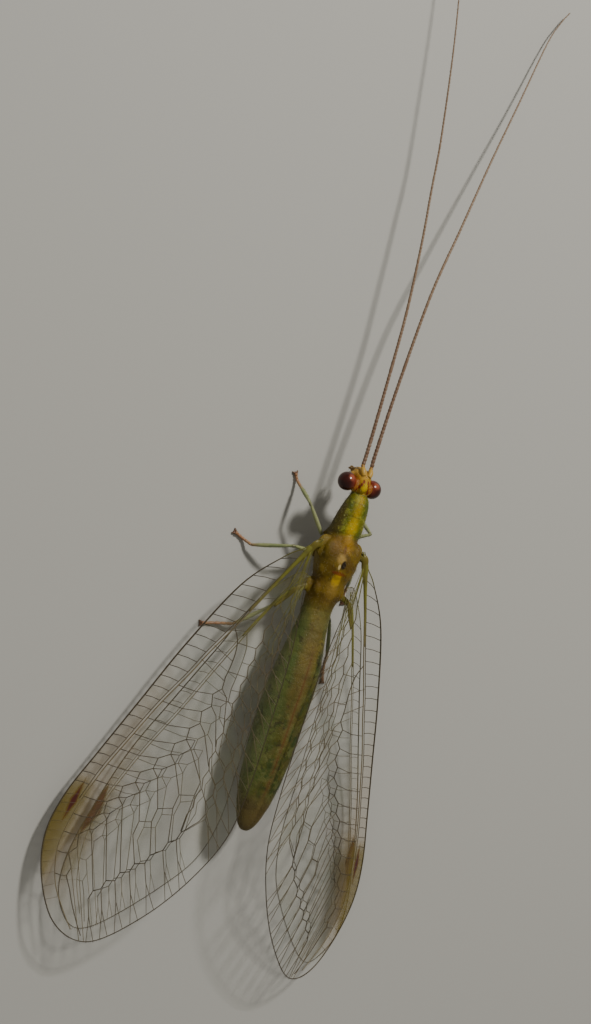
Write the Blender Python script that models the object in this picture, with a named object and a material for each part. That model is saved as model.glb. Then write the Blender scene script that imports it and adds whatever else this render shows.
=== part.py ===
"""A green lacewing at rest, life size, as a still museum model.

Every size below is in millimetres and is turned into metres when a mesh is made.
The head points along -Y, the animal's left side is +X, and the floor is Z = 0.
The body is measured from the middle of the mesothorax; the last step moves the
whole model so that its origin is the middle of its footprint on the floor.
"""

import math

import bmesh
import bpy
from mathutils import Vector, geometry

MM = 0.001
GAP = 0.2  # clearance kept between neighbouring pieces
WELD_DISTANCE = 1e-6  # in metres, for the loose caps of a bar
SHARP_ANGLE = math.radians(50.0)

# Body axis: where each part starts and ends along Y, and how high its middle is.
HEAD_BACK = -2.22
HEAD_FRONT = -3.30
PROTHORAX_FRONT = -2.02
PROTHORAX_BACK = -0.28
MESOTHORAX_FRONT = -0.08
MESOTHORAX_BACK = 1.55
METATHORAX_FRONT = 1.75
METATHORAX_BACK = 2.70
ABDOMEN_FRONT = 2.90
ABDOMEN_BACK = 12.70
THORAX_HEIGHT = 2.05
HEAD_HEIGHT = 2.20
TAIL_HEIGHT = 1.70
ABDOMEN_DEPTH = 0.90  # height over width
ABDOMEN_SEGMENTS = 10
ABDOMEN_GROOVE = 0.045  # how deep the seam between two segments is
TAIL_HALF_WIDTH = 0.22
BODY_SIDES = 16

# Eyes.
EYE_RADIUS = 0.40
EYE_CENTRE = (0.66, -2.49, 2.30)
EYE_INNER_FACE = 0.56

# Antennae: the scape is the thick first joint, the flagellum the long thread.
SCAPE_RADIUS = 0.25
LIMB_END = 0.76  # radius at the ends of a scape, femur, tibia or tarsus over its full radius
FLAGELLUM_RADIUS = 0.24
FLAGELLUM_TIP_RADIUS = 0.09
SCAPE_START = (0.36, -3.10, 2.62)
SCAPE_END = (0.36, -3.55, 2.50)
LEFT_FLAGELLUM = ((0.38, -6.5, 2.22), (0.40, -9.9, 2.02), (0.60, -12.9, 1.85), (1.03, -17.3, 1.52),
                  (1.65, -20.6, 1.40), (2.17, -23.1, 1.25), (2.52, -24.6, 1.15))
RIGHT_FLAGELLUM = ((-0.38, -6.5, 2.22), (-0.52, -11.0, 2.05), (-1.07, -14.2, 1.70), (-1.74, -17.5, 1.15),
                   (-2.42, -20.6, 0.70), (-3.04, -23.7, 0.34), (-3.41, -24.9, 0.26), (-3.66, -25.5, 0.30))

# Wings. A wing is drawn flat, s along it from root to tip and t across it from
# the front edge (negative) to the hind edge (positive), then laid on its slope.
WING_THICKNESS = 0.50
STEEPEST_CHORD = math.radians(20.0)  # the slope at which the sheet is measured square to itself
FORE_ROOT = (1.22, -0.10)
HIND_ROOT = (1.06, 2.02)
ROOT_HEIGHT = 2.42
HIND_SPREAD = math.radians(13.4)
STACK = 0.85  # how far the hind wing's middle lies under the fore wing's
FORE_LENGTH = 19.5
DROOP_START = 14.0
LOWEST_MIDDLE = 0.26  # a wing sheet never sinks nearer the floor than this
# For each side: sweep from the body's line, roof slope at root and tip, fall of
# the wing towards its tip in mm per mm, and the last droop of the tip.
WING_POSE = {
    "left": {"spread": math.radians(11.9), "roof": (31.9, 12.7), "fall": 0.040, "droop": -0.20},
    "right": {"spread": math.radians(9.4), "roof": (19.0, 24.3), "fall": 0.026, "droop": 0.05},
}
FORE_OUTLINE = ((0.00, 0.10), (0.00, -0.30), (1.50, -0.75), (3.40, -1.72), (6.60, -2.46), (9.40, -2.92),
                (12.0, -3.35), (14.1, -3.68), (15.8, -3.60), (17.3, -2.94), (18.6, -1.80), (19.0, -0.60),
                (18.5, 0.45), (16.7, 1.70), (14.7, 2.52), (12.6, 2.92), (10.4, 2.68), (7.60, 2.10),
                (4.60, 1.38), (2.20, 0.58), (0.80, 0.16))
HIND_OUTLINE = ((-0.30, 0.06), (-0.15, -0.42), (1.60, -1.02), (4.20, -1.36), (6.80, -1.85), (9.40, -2.34),
                (12.0, -2.48), (14.2, -2.42), (15.7, -2.00), (16.6, -1.10), (16.5, -0.35), (15.4, 0.50),
                (13.6, 1.45), (12.0, 2.02), (10.2, 2.02), (8.00, 1.52), (5.20, 0.90), (2.60, 0.36),
                (0.30, 0.06))
OUTLINE_STEPS = 2

# Main veins, as low ridges raised in both faces of a wing.
VEIN_HALF_WIDTH = 0.11
VEIN_RISE_ABOVE = 0.09
VEIN_RISE_BELOW = 0.04
VEIN_INSET = 0.28  # a vein stops this far inside the margin
VEIN_STEP = 0.1
SHORTEST_VEIN = 0.3
LONGEST_VEIN = 9.0  # a branch is drawn this long and stops where it meets the margin
MERGE_FLAT = 0.03  # points of a flat wing nearer than this become one
BRANCH_ANGLE = math.radians(28.0)
COSTAL_ANGLE = math.radians(-75.0)
CUBITAL_ANGLE = math.radians(48.0)
HIND_MEDIAL_ANGLE = math.radians(45.0)
FORE_RADIUS = ((0.60, -0.10), (3.40, -0.33), (5.60, -1.02), (8.20, -1.98), (11.0, -2.58), (13.8, -3.05),
               (15.8, -2.95), (17.3, -2.25), (18.3, -1.15))
FORE_SECTOR = ((4.60, -0.72), (5.50, -0.42), (6.60, -0.14), (8.70, -0.34), (10.0, -0.62), (11.5, -1.11),
               (13.2, -1.76), (15.0, -2.20), (16.4, -2.05), (17.6, -1.35))
FORE_MEDIA = ((2.00, 0.05), (5.00, 0.12), (8.70, 0.60), (11.0, 0.91), (13.3, 1.12), (14.6, 0.72),
              (15.6, 0.10), (16.7, -0.55))
FORE_CUBITUS = ((2.00, 0.22), (5.00, 0.85), (8.00, 1.48), (10.2, 1.80), (12.3, 1.68), (13.4, 1.18))
HIND_RADIUS = ((0.40, -0.18), (4.90, -1.00), (7.00, -1.40), (9.20, -1.88), (11.2, -2.12), (13.4, -2.05),
               (15.0, -1.50), (15.9, -0.75))
HIND_SECTOR = ((3.00, -0.30), (6.80, -0.10), (8.20, -0.32), (9.90, -0.88), (11.6, -1.38), (13.1, -1.68),
               (14.4, -1.40))
HIND_MEDIA = ((1.50, -0.10), (5.00, 0.22), (8.00, 0.72), (10.6, 1.12), (12.2, 0.92), (13.5, 0.30))
# Where branches and cross veins leave their vein: first, last and step along the wing.
FORE_SECTOR_BRANCHES = (8.5, 15.9, 0.92)
FORE_CUBITAL_BRANCHES = (3.6, 12.4, 1.1)
FORE_COSTAL_BRANCHES = (3.2, 13.0, 1.4)
FORE_RADIAL_BRIDGES = (6.2, 14.0, 1.1)
FORE_MEDIAL_BRIDGES = (5.6, 7.8, 1.1)
FORE_CUBITAL_BRIDGES = (4.2, 11.6, 1.4)
HIND_SECTOR_BRANCHES = (7.4, 13.8, 1.05)
HIND_MEDIAL_BRANCHES = (4.6, 10.4, 1.4)
HIND_RADIAL_BRIDGES = (5.6, 12.4, 1.3)

# Legs: hip, knee, ankle and toe of each.
FEMUR_RADIUS = 0.28
TIBIA_RADIUS = 0.25
TARSUS_RADIUS = 0.24
LEGS = {
    "foreleg_left": ((0.42, -0.85, 1.32), (1.22, -0.62, 1.70), (1.84, -1.66, 0.46), (1.97, -2.20, 0.22)),
    "foreleg_right": ((-0.42, -0.85, 1.32), (-1.28, -0.68, 1.70), (-1.50, -1.52, 0.46), (-1.46, -2.12, 0.22)),
    "midleg_left": ((0.45, 0.75, 0.90), (1.62, 0.70, 1.26), (3.08, 1.26, 0.40), (3.80, 0.98, 0.22)),
    "midleg_right": ((-0.45, 0.75, 0.90), (-1.50, 0.78, 1.26), (-2.02, 1.88, 0.42), (-2.14, 2.48, 0.22)),
    "hindleg_left": ((0.42, 2.20, 0.86), (1.36, 3.42, 0.62), (2.66, 4.66, 0.38), (3.92, 4.98, 0.22)),
    "hindleg_right": ((-0.42, 2.20, 0.86), (-1.42, 3.40, 0.62), (-1.98, 5.00, 0.38), (-2.30, 5.92, 0.22)),
}

COLOURS = {
    "head_yellow": ((0.62, 0.45, 0.10), 0.35),
    "eye_red": ((0.16, 0.02, 0.012), 0.12),
    "antenna_brown": ((0.30, 0.17, 0.09), 0.55),
    "pronotum_green": ((0.33, 0.42, 0.05), 0.40),
    "thorax_amber": ((0.42, 0.30, 0.05), 0.40),
    "abdomen_green": ((0.26, 0.32, 0.10), 0.50),
    "leg_green": ((0.38, 0.42, 0.18), 0.50),
    "foot_brown": ((0.36, 0.19, 0.09), 0.55),
    "wing_clear": ((0.62, 0.62, 0.52), 0.25),
}


def clear_scene():
    for obj in list(bpy.data.objects):
        bpy.data.objects.remove(obj, do_unlink=True)


def make_material(name):
    colour, roughness = COLOURS[name]
    material = bpy.data.materials.new(name)
    material.use_nodes = True
    shader = material.node_tree.nodes["Principled BSDF"]
    shader.inputs["Base Color"].default_value = (*colour, 1.0)
    shader.inputs["Roughness"].default_value = roughness
    shader.inputs["Metallic"].default_value = 0.0
    return material


class Model:
    """The collection that holds the lacewing, and its materials."""

    def __init__(self):
        self.collection = bpy.data.collections.new("green_lacewing")
        bpy.context.scene.collection.children.link(self.collection)
        self.materials = {name: make_material(name) for name in COLOURS}

    def add(self, name, mesh, material):
        mesh.name = name
        mesh.materials.clear()
        mesh.materials.append(self.materials[material])
        mesh.shade_smooth()
        mesh.set_sharp_from_angle(angle=SHARP_ANGLE)
        obj = bpy.data.objects.new(name, mesh)
        self.collection.objects.link(obj)
        return obj


def mix(a, b, share):
    return a + (b - a) * share


def ease(share):
    """0 to 1 with a soft start and end."""
    share = min(1.0, max(0.0, share))
    return share * share * (3.0 - 2.0 * share)


def spline(points, steps, closed=False):
    """A smooth curve through the points, with this many steps between each two."""
    points = [Vector(p) for p in points]
    count = len(points)
    spans = count if closed else count - 1
    out = []
    for i in range(spans):
        around = [(i + k) % count if closed else min(max(i + k, 0), count - 1) for k in (-1, 0, 1, 2)]
        a, b, c, d = (points[k] for k in around)
        for step in range(steps):
            u = step / steps
            bend = (2 * a - 5 * b + 4 * c - d) * u * u + (3 * b - a - 3 * c + d) * u ** 3
            out.append(0.5 * (2 * b + (c - a) * u + bend))
    if not closed:
        out.append(points[-1])
    return out


def mesh_from(bm):
    mesh = bpy.data.meshes.new("solid")
    bmesh.ops.recalc_face_normals(bm, faces=bm.faces)
    bmesh.ops.scale(bm, vec=(MM, MM, MM), verts=bm.verts)
    bm.to_mesh(mesh)
    bm.free()
    return mesh


def loft(rings, sides=BODY_SIDES):
    """A closed body through rings (y, half width, half height, middle height, flattening of the back)."""
    bm = bmesh.new()
    loops = []
    for y, half_width, half_height, height, flat in rings:
        loop = []
        for k in range(sides):
            angle = 2 * math.pi * k / sides
            up = math.sin(angle)
            rise = half_height * up * (1.0 - flat * max(0.0, up) ** 2)
            loop.append(bm.verts.new((half_width * math.cos(angle), y, height + rise)))
        loops.append(loop)
    for first, second in zip(loops, loops[1:]):
        for k in range(sides):
            bm.faces.new((first[k], first[(k + 1) % sides], second[(k + 1) % sides], second[k]))
    bm.faces.new(loops[0])
    bm.faces.new(loops[-1])
    return mesh_from(bm)


def tube(points, radii, floor=None):
    """A round bar along the points, with a radius at each, and flattened where it stands on the floor."""
    curve = bpy.data.curves.new("path", "CURVE")
    curve.dimensions = "3D"
    curve.bevel_depth = MM
    curve.bevel_resolution = 2
    curve.use_fill_caps = True
    path = curve.splines.new("POLY")
    path.points.add(len(points) - 1)
    for point, place, radius in zip(path.points, points, radii):
        point.co = (*(Vector(place) * MM), 1.0)
        point.radius = radius
    holder = bpy.data.objects.new("path", curve)
    bpy.context.scene.collection.objects.link(holder)
    bpy.context.view_layer.update()
    mesh = bpy.data.meshes.new_from_object(holder.evaluated_get(bpy.context.evaluated_depsgraph_get()))
    bpy.data.objects.remove(holder, do_unlink=True)
    bm = bmesh.new()
    bm.from_mesh(mesh)
    bmesh.ops.remove_doubles(bm, verts=bm.verts, dist=WELD_DISTANCE)
    if floor is not None:
        for vert in bm.verts:
            vert.co.z = max(vert.co.z, floor * MM)
    bmesh.ops.recalc_face_normals(bm, faces=bm.faces)
    bm.to_mesh(mesh)
    bm.free()
    return mesh


def limb(a, b, radius, floor=None):
    """A straight bar from a to b whose ends are rounded off."""
    places = [mix(a, b, share) for share in (0.0, 0.12, 0.5, 0.9, 1.0)]
    return tube(places, [radius * LIMB_END, radius, radius, radius * 0.95, radius * LIMB_END], floor)


def ellipsoid(centre, radii):
    """A ball, stretched to three radii."""
    bm = bmesh.new()
    bmesh.ops.create_uvsphere(bm, u_segments=12, v_segments=8, radius=1.0)
    bmesh.ops.scale(bm, vec=radii, verts=bm.verts)
    bmesh.ops.translate(bm, vec=centre, verts=bm.verts)
    return mesh_from(bm)


def joined(meshes):
    """One closed mesh from several that overlap."""
    helpers = bpy.data.collections.new("helpers")
    bpy.context.scene.collection.children.link(helpers)
    first = bpy.data.objects.new("first", meshes[0])
    bpy.context.scene.collection.objects.link(first)
    for mesh in meshes[1:]:
        helpers.objects.link(bpy.data.objects.new("other", mesh))
    union = first.modifiers.new("union", "BOOLEAN")
    union.operation = "UNION"
    union.operand_type = "COLLECTION"
    union.collection = helpers
    union.solver = "EXACT"
    bpy.context.view_layer.update()
    mesh = bpy.data.meshes.new_from_object(first.evaluated_get(bpy.context.evaluated_depsgraph_get()))
    for obj in [first, *helpers.objects]:
        bpy.data.objects.remove(obj, do_unlink=True)
    bpy.data.collections.remove(helpers)
    return mesh


def mirrored(point, side):
    """The point on the animal's left, or its mirror image on the right."""
    return (point[0] if side == "left" else -point[0], *point[1:])


def add_head(model):
    """The head capsule, with its clypeus, labrum and palps, between the eyes."""
    length = HEAD_BACK - HEAD_FRONT
    capsule = loft([(HEAD_BACK, 0.22, 0.22, HEAD_HEIGHT - 0.02, 0.0),
                    (HEAD_BACK - 0.10 * length, 0.35, 0.40, HEAD_HEIGHT, 0.1),
                    (HEAD_BACK - 0.32 * length, 0.37, 0.50, HEAD_HEIGHT, 0.1),
                    (HEAD_BACK - 0.60 * length, 0.38, 0.50, HEAD_HEIGHT - 0.02, 0.1),
                    (HEAD_BACK - 0.80 * length, 0.42, 0.42, HEAD_HEIGHT - 0.08, 0.1),
                    (HEAD_BACK - 0.94 * length, 0.36, 0.32, HEAD_HEIGHT - 0.16, 0.1),
                    (HEAD_FRONT, 0.25, 0.20, HEAD_HEIGHT - 0.22, 0.0)])
    clypeus = ellipsoid((0.0, HEAD_FRONT + 0.02, HEAD_HEIGHT - 0.34), (0.26, 0.26, 0.20))
    labrum = ellipsoid((0.0, HEAD_FRONT - 0.14, HEAD_HEIGHT - 0.50), (0.20, 0.20, 0.13))
    pieces = [capsule, clypeus, labrum]
    for side in ("left", "right"):
        palp = [(0.22, HEAD_FRONT + 0.16, HEAD_HEIGHT - 0.40), (0.34, HEAD_FRONT - 0.10, HEAD_HEIGHT - 0.62),
                (0.42, HEAD_FRONT - 0.42, HEAD_HEIGHT - 0.78), (0.40, HEAD_FRONT - 0.68, HEAD_HEIGHT - 0.84)]
        path = spline([mirrored(p, side) for p in palp], 2)
        pieces.append(tube(path, [mix(0.17, 0.08, k / (len(path) - 1)) for k in range(len(path))]))
    model.add("head", joined(pieces), "head_yellow")


def add_eye(model, side):
    """A ball with its inner side cut flat, where it sits on the head."""
    centre = mirrored(EYE_CENTRE, side)
    way = 1 if side == "left" else -1
    bm = bmesh.new()
    bmesh.ops.create_uvsphere(bm, u_segments=18, v_segments=12, radius=EYE_RADIUS)
    bmesh.ops.translate(bm, vec=centre, verts=bm.verts)
    geom = list(bm.verts) + list(bm.edges) + list(bm.faces)
    cut = bmesh.ops.bisect_plane(bm, geom=geom, plane_co=(way * EYE_INNER_FACE, 0, 0), plane_no=(way, 0, 0),
                                 clear_inner=True)
    rim = [item for item in cut["geom_cut"] if isinstance(item, bmesh.types.BMEdge)]
    bmesh.ops.contextual_create(bm, geom=rim)
    model.add("eye_" + side, mesh_from(bm), "eye_red")


def add_antenna(model, side, flagellum):
    """The scape on the face, and the flagellum that grows from its end."""
    start = Vector(mirrored(SCAPE_START, side))
    end = Vector(mirrored(SCAPE_END, side))
    model.add("scape_" + side, limb(start, end, SCAPE_RADIUS), "head_yellow")
    path = spline([end + (end - start).normalized() * GAP, *flagellum], 3)
    last = len(path) - 1
    radii = [mix(FLAGELLUM_RADIUS, FLAGELLUM_TIP_RADIUS, (k / last) ** 2) for k in range(last + 1)]
    model.add("flagellum_" + side, tube(path, radii, floor=0.0), "antenna_brown")


def add_thorax(model):
    """Prothorax with its neck, mesothorax and metathorax, each a body of its own."""
    length = PROTHORAX_BACK - PROTHORAX_FRONT
    prothorax = [(PROTHORAX_FRONT, 0.26, 0.24, 2.12, 0.0),
                 (PROTHORAX_FRONT + 0.08 * length, 0.38, 0.34, 2.14, 0.1),
                 (PROTHORAX_FRONT + 0.25 * length, 0.46, 0.42, 2.13, 0.15),
                 (PROTHORAX_FRONT + 0.55 * length, 0.54, 0.50, 2.09, 0.15),
                 (PROTHORAX_FRONT + 0.85 * length, 0.66, 0.60, THORAX_HEIGHT, 0.15),
                 (PROTHORAX_FRONT + 0.96 * length, 0.66, 0.60, THORAX_HEIGHT, 0.1),
                 (PROTHORAX_BACK, 0.56, 0.50, THORAX_HEIGHT, 0.0)]
    model.add("prothorax", loft(prothorax), "pronotum_green")
    length = MESOTHORAX_BACK - MESOTHORAX_FRONT
    mesothorax = [(MESOTHORAX_FRONT, 0.58, 0.52, THORAX_HEIGHT, 0.0),
                  (MESOTHORAX_FRONT + 0.08 * length, 0.74, 0.74, THORAX_HEIGHT, 0.1),
                  (MESOTHORAX_FRONT + 0.30 * length, 0.92, 0.92, THORAX_HEIGHT, 0.1),
                  (MESOTHORAX_FRONT + 0.55 * length, 0.94, 0.95, THORAX_HEIGHT, 0.1),
                  (MESOTHORAX_FRONT + 0.80 * length, 0.86, 0.88, THORAX_HEIGHT, 0.1),
                  (MESOTHORAX_FRONT + 0.94 * length, 0.74, 0.76, THORAX_HEIGHT, 0.1),
                  (MESOTHORAX_BACK, 0.58, 0.60, THORAX_HEIGHT, 0.0)]
    lobes = [ellipsoid((x, y, THORAX_HEIGHT + 0.55), (0.40, 0.48, 0.36))
             for x, y in ((0.36, 0.45), (-0.36, 0.45))]
    scutellum = ellipsoid((0.0, 1.12, THORAX_HEIGHT + 0.62), (0.30, 0.30, 0.28))
    model.add("mesothorax", joined([loft(mesothorax), *lobes, scutellum]), "thorax_amber")
    length = METATHORAX_BACK - METATHORAX_FRONT
    metathorax = [(METATHORAX_FRONT, 0.58, 0.58, THORAX_HEIGHT - 0.03, 0.0),
                  (METATHORAX_FRONT + 0.12 * length, 0.74, 0.74, THORAX_HEIGHT - 0.05, 0.1),
                  (METATHORAX_FRONT + 0.45 * length, 0.80, 0.80, THORAX_HEIGHT - 0.08, 0.1),
                  (METATHORAX_FRONT + 0.80 * length, 0.72, 0.72, THORAX_HEIGHT - 0.12, 0.1),
                  (METATHORAX_BACK, 0.56, 0.56, THORAX_HEIGHT - 0.14, 0.0)]
    model.add("metathorax", loft(metathorax), "thorax_amber")


def abdomen_half_width(share):
    """Half the abdomen's width at a share of its length: slim waist, full middle, blunt tip."""
    swell = mix(0.66, 1.06, ease(share / 0.38))
    return swell * math.sqrt(max(0.0, 1.0 - max(0.0, (share - 0.50) / 0.505) ** 2.6))


def add_abdomen(model):
    """Ten ringed segments, each bulging a little between its seams."""
    rings_each = 3
    rings = []
    for k in range(ABDOMEN_SEGMENTS * rings_each + 1):
        share = k / (ABDOMEN_SEGMENTS * rings_each)
        seam = ABDOMEN_GROOVE if k % rings_each == 0 and k > 0 else 0.0
        half = max(TAIL_HALF_WIDTH, abdomen_half_width(share)) - seam
        height = mix(THORAX_HEIGHT - 0.15, TAIL_HEIGHT, ease(share / 0.6))
        rings.append((mix(ABDOMEN_FRONT, ABDOMEN_BACK, share), half, half * ABDOMEN_DEPTH, height, 0.05))
    model.add("abdomen", loft(rings), "abdomen_green")


def roof_slope(s, pose):
    """How steeply a wing slopes down to its front edge at this distance from its root."""
    return math.radians(mix(*pose["roof"], s / FORE_LENGTH))


def fore_height(s, t, pose):
    """Height of the fore wing's middle at a place on it."""
    past = max(0.0, (s - DROOP_START) / (FORE_LENGTH - DROOP_START))
    axis = ROOT_HEIGHT - pose["fall"] * s - pose["droop"] * past ** 2
    return axis + t * math.sin(roof_slope(s, pose))


def fore_place(s, t, side):
    """Where a place on the flat fore wing lies in the model."""
    pose = WING_POSE[side]
    across = t * math.cos(roof_slope(s, pose))
    x = FORE_ROOT[0] + s * math.sin(pose["spread"]) - across * math.cos(pose["spread"])
    y = FORE_ROOT[1] + s * math.cos(pose["spread"]) + across * math.sin(pose["spread"])
    return mirrored((x, y, fore_height(s, t, pose)), side)


def hind_place(s, t, side):
    """The hind wing lies under the fore wing and follows its slope, down to the floor at its front edge."""
    pose = WING_POSE[side]
    x = HIND_ROOT[0] + s * math.sin(HIND_SPREAD) - t * math.cos(HIND_SPREAD)
    y = HIND_ROOT[1] + s * math.cos(HIND_SPREAD) + t * math.sin(HIND_SPREAD)
    dx, dy = x - FORE_ROOT[0], y - FORE_ROOT[1]
    along = dx * math.sin(pose["spread"]) + dy * math.cos(pose["spread"])
    level = dy * math.sin(pose["spread"]) - dx * math.cos(pose["spread"])
    across = level / math.cos(roof_slope(along, pose))
    z = fore_height(along, across, pose) - STACK
    return mirrored((x, y, max(z, LOWEST_MIDDLE)), side)


def inside(point, polygon):
    """Whether a flat point is inside a closed outline."""
    found = False
    for a, b in zip(polygon, polygon[1:] + polygon[:1]):
        if (a.y > point.y) != (b.y > point.y):
            if point.x < a.x + (b.x - a.x) * (point.y - a.y) / (b.y - a.y):
                found = not found
    return found


def clipped(line, polygon):
    """The stretch of a line, from its first point, that stays well inside the outline."""
    out = [line[0]]
    for a, b in zip(line, line[1:]):
        steps = max(1, math.ceil((b - a).length / VEIN_STEP))
        for k in range(1, steps + 1):
            point = a.lerp(b, k / steps)
            ahead = point + (b - a).normalized() * VEIN_INSET
            if not inside(ahead, polygon):
                if (point - out[-1]).length > SHORTEST_VEIN:
                    out.append(point)
                return out
        out.append(b)
    return out


def height_on(line, s):
    """The t of a line at this s."""
    for a, b in zip(line, line[1:]):
        if a.x <= s <= b.x:
            return mix(a.y, b.y, (s - a.x) / (b.x - a.x))
    return line[-1].y


def steps_from(start, end, step):
    return [start + step * k for k in range(int((end - start) / step) + 1)]


def branches(line, starts, angle):
    """Straight veins that leave a line at each start, at an angle to the wing's length."""
    way = Vector((math.cos(angle), math.sin(angle))) * LONGEST_VEIN
    bases = [Vector((s, height_on(line, s))) for s in steps_from(*starts)]
    return [[base, base + way] for base in bases]


def bridges(first, second, starts, lean):
    """Cross veins from one line to another, leaning towards the tip by this much."""
    out = []
    for s in steps_from(*starts):
        out.append([Vector((s, height_on(first, s))), Vector((s + lean, height_on(second, s + lean)))])
    return out


def fore_veins():
    """Radius, radial sector with its branches, media, cubitus and the cross veins between them."""
    radius, sector, media, cubitus = ([Vector(p) for p in line] for line in
                                      (FORE_RADIUS, FORE_SECTOR, FORE_MEDIA, FORE_CUBITUS))
    veins = [radius, sector, media, cubitus]
    veins += branches(sector, FORE_SECTOR_BRANCHES, BRANCH_ANGLE)
    veins += branches(cubitus, FORE_CUBITAL_BRANCHES, CUBITAL_ANGLE)
    veins += branches(radius, FORE_COSTAL_BRANCHES, COSTAL_ANGLE)
    veins += bridges(radius, sector, FORE_RADIAL_BRIDGES, 0.1)
    veins += bridges(sector, media, FORE_MEDIAL_BRIDGES, 0.2)
    veins += bridges(media, cubitus, FORE_CUBITAL_BRIDGES, 0.3)
    return veins


def hind_veins():
    """The hind wing has the same plan with fewer branches."""
    radius, sector, media = ([Vector(p) for p in line] for line in (HIND_RADIUS, HIND_SECTOR, HIND_MEDIA))
    veins = [radius, sector, media]
    veins += branches(sector, HIND_SECTOR_BRANCHES, BRANCH_ANGLE)
    veins += branches(media, HIND_MEDIAL_BRANCHES, HIND_MEDIAL_ANGLE)
    veins += bridges(radius, sector, HIND_RADIAL_BRIDGES, 0.1)
    return veins


def distance_to(point, line):
    """How far a flat point is from a line of points."""
    best = math.inf
    for a, b in zip(line, line[1:]):
        along = b - a
        share = min(1.0, max(0.0, (point - a).dot(along) / along.length_squared))
        best = min(best, (point - a - along * share).length)
    return best


def offset(line, shift):
    """The line moved sideways."""
    out = []
    for k, point in enumerate(line):
        before, after = line[max(k - 1, 0)], line[min(k + 1, len(line) - 1)]
        along = (after - before).normalized()
        out.append(point + Vector((-along.y, along.x)) * shift)
    return out


def wing_mesh(outline, veins, place, side):
    """A sheet of even thickness with its veins raised in it, split into triangles alike on both faces."""
    polygon = [Vector(p).to_2d() for p in spline([(s, t, 0) for s, t in outline], OUTLINE_STEPS, closed=True)]
    veins = [clipped(line, polygon) for line in veins]
    veins = [line for line in veins if len(line) > 1]
    points = list(polygon)
    edges = [(k, (k + 1) % len(polygon)) for k in range(len(polygon))]
    for line in veins:
        for shift in (-VEIN_HALF_WIDTH, 0.0, VEIN_HALF_WIDTH):
            first = len(points)
            points += offset(line, shift)
            edges += [(k, k + 1) for k in range(first, len(points) - 1)]
    flat, _, faces, *_ = geometry.delaunay_2d_cdt(points, edges, [], 0, MERGE_FLAT)
    faces = [f for f in faces if inside(sum((flat[v] for v in f), Vector((0, 0))) / 3, polygon)]
    bm = bmesh.new()
    half = WING_THICKNESS / 2 / math.cos(STEEPEST_CHORD)
    tops, bottoms = {}, {}
    for v in {v for f in faces for v in f}:
        x, y, z = place(flat[v].x, flat[v].y, side)
        near = min(distance_to(flat[v], line) for line in veins)
        ridge = max(0.0, 1.0 - near / VEIN_HALF_WIDTH)
        tops[v] = bm.verts.new((x, y, z + half + VEIN_RISE_ABOVE * ridge))
        bottoms[v] = bm.verts.new((x, y, max(z - half - VEIN_RISE_BELOW * ridge, 0.0)))
    border = set()
    for f in faces:
        bm.faces.new([tops[v] for v in f])
        bm.faces.new([bottoms[v] for v in reversed(f)])
        border.update(zip(f, f[1:] + f[:1]))
    for a, b in border:
        if (b, a) not in border:
            bm.faces.new((tops[b], tops[a], bottoms[a], bottoms[b]))
    return mesh_from(bm)


def add_wings(model):
    for side in ("left", "right"):
        model.add("forewing_" + side, wing_mesh(FORE_OUTLINE, fore_veins(), fore_place, side), "wing_clear")
        model.add("hindwing_" + side, wing_mesh(HIND_OUTLINE, hind_veins(), hind_place, side), "wing_clear")


def shortened(start, end, at_start, at_end):
    """A straight length between two joints, kept back from each."""
    start, end = Vector(start), Vector(end)
    along = (end - start).normalized()
    return start + along * at_start, end - along * at_end


def add_leg(model, name, joints):
    """Femur, tibia and tarsus, each its own piece with clearance at the joint."""
    hip, knee, ankle, toe = joints
    femur = shortened(hip, knee, 0.0, GAP / 2)
    tibia = shortened(knee, ankle, GAP, GAP / 2)
    tarsus = shortened(ankle, toe, GAP, 0.0)
    model.add(name + "_femur", limb(*femur, FEMUR_RADIUS), "leg_green")
    model.add(name + "_tibia", limb(*tibia, TIBIA_RADIUS), "leg_green")
    model.add(name + "_tarsus", limb(*tarsus, TARSUS_RADIUS, floor=0.0), "foot_brown")


def centre_on_footprint(model):
    """Moves the model so that its origin is the middle of its box, on the floor."""
    places = [v.co for obj in model.collection.objects for v in obj.data.vertices]
    low = Vector([min(p[k] for p in places) for k in range(3)])
    high = Vector([max(p[k] for p in places) for k in range(3)])
    shift = Vector((-(low.x + high.x) / 2, -(low.y + high.y) / 2, -low.z))
    for obj in model.collection.objects:
        for vert in obj.data.vertices:
            vert.co += shift
    print("moved by", [round(x / MM, 3) for x in shift], "mm")
    print("size", [round(x / MM, 2) for x in high - low], "mm")


def main():
    clear_scene()
    model = Model()
    add_head(model)
    for side, flagellum in (("left", LEFT_FLAGELLUM), ("right", RIGHT_FLAGELLUM)):
        add_eye(model, side)
        add_antenna(model, side, flagellum)
    add_thorax(model)
    add_abdomen(model)
    add_wings(model)
    for name, joints in LEGS.items():
        add_leg(model, name, joints)
    centre_on_footprint(model)


main()
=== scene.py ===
# %% [markdown]
# # A green lacewing at rest
#
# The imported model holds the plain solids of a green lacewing: body, eyes, antennae, wings and legs.
# This lesson dresses them. Each step makes one visible part of the animal in millimetres, measured from
# the middle of its thorax, and puts it where the plain solid is. A lacewing is a good subject to learn
# from, because nearly all of it is either a soft tapered tube or a thin sheet held by a net of veins.

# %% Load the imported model
import math
import random

import bmesh
import bpy
import numpy as np
from mathutils import Matrix, Vector, geometry, kdtree


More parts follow.
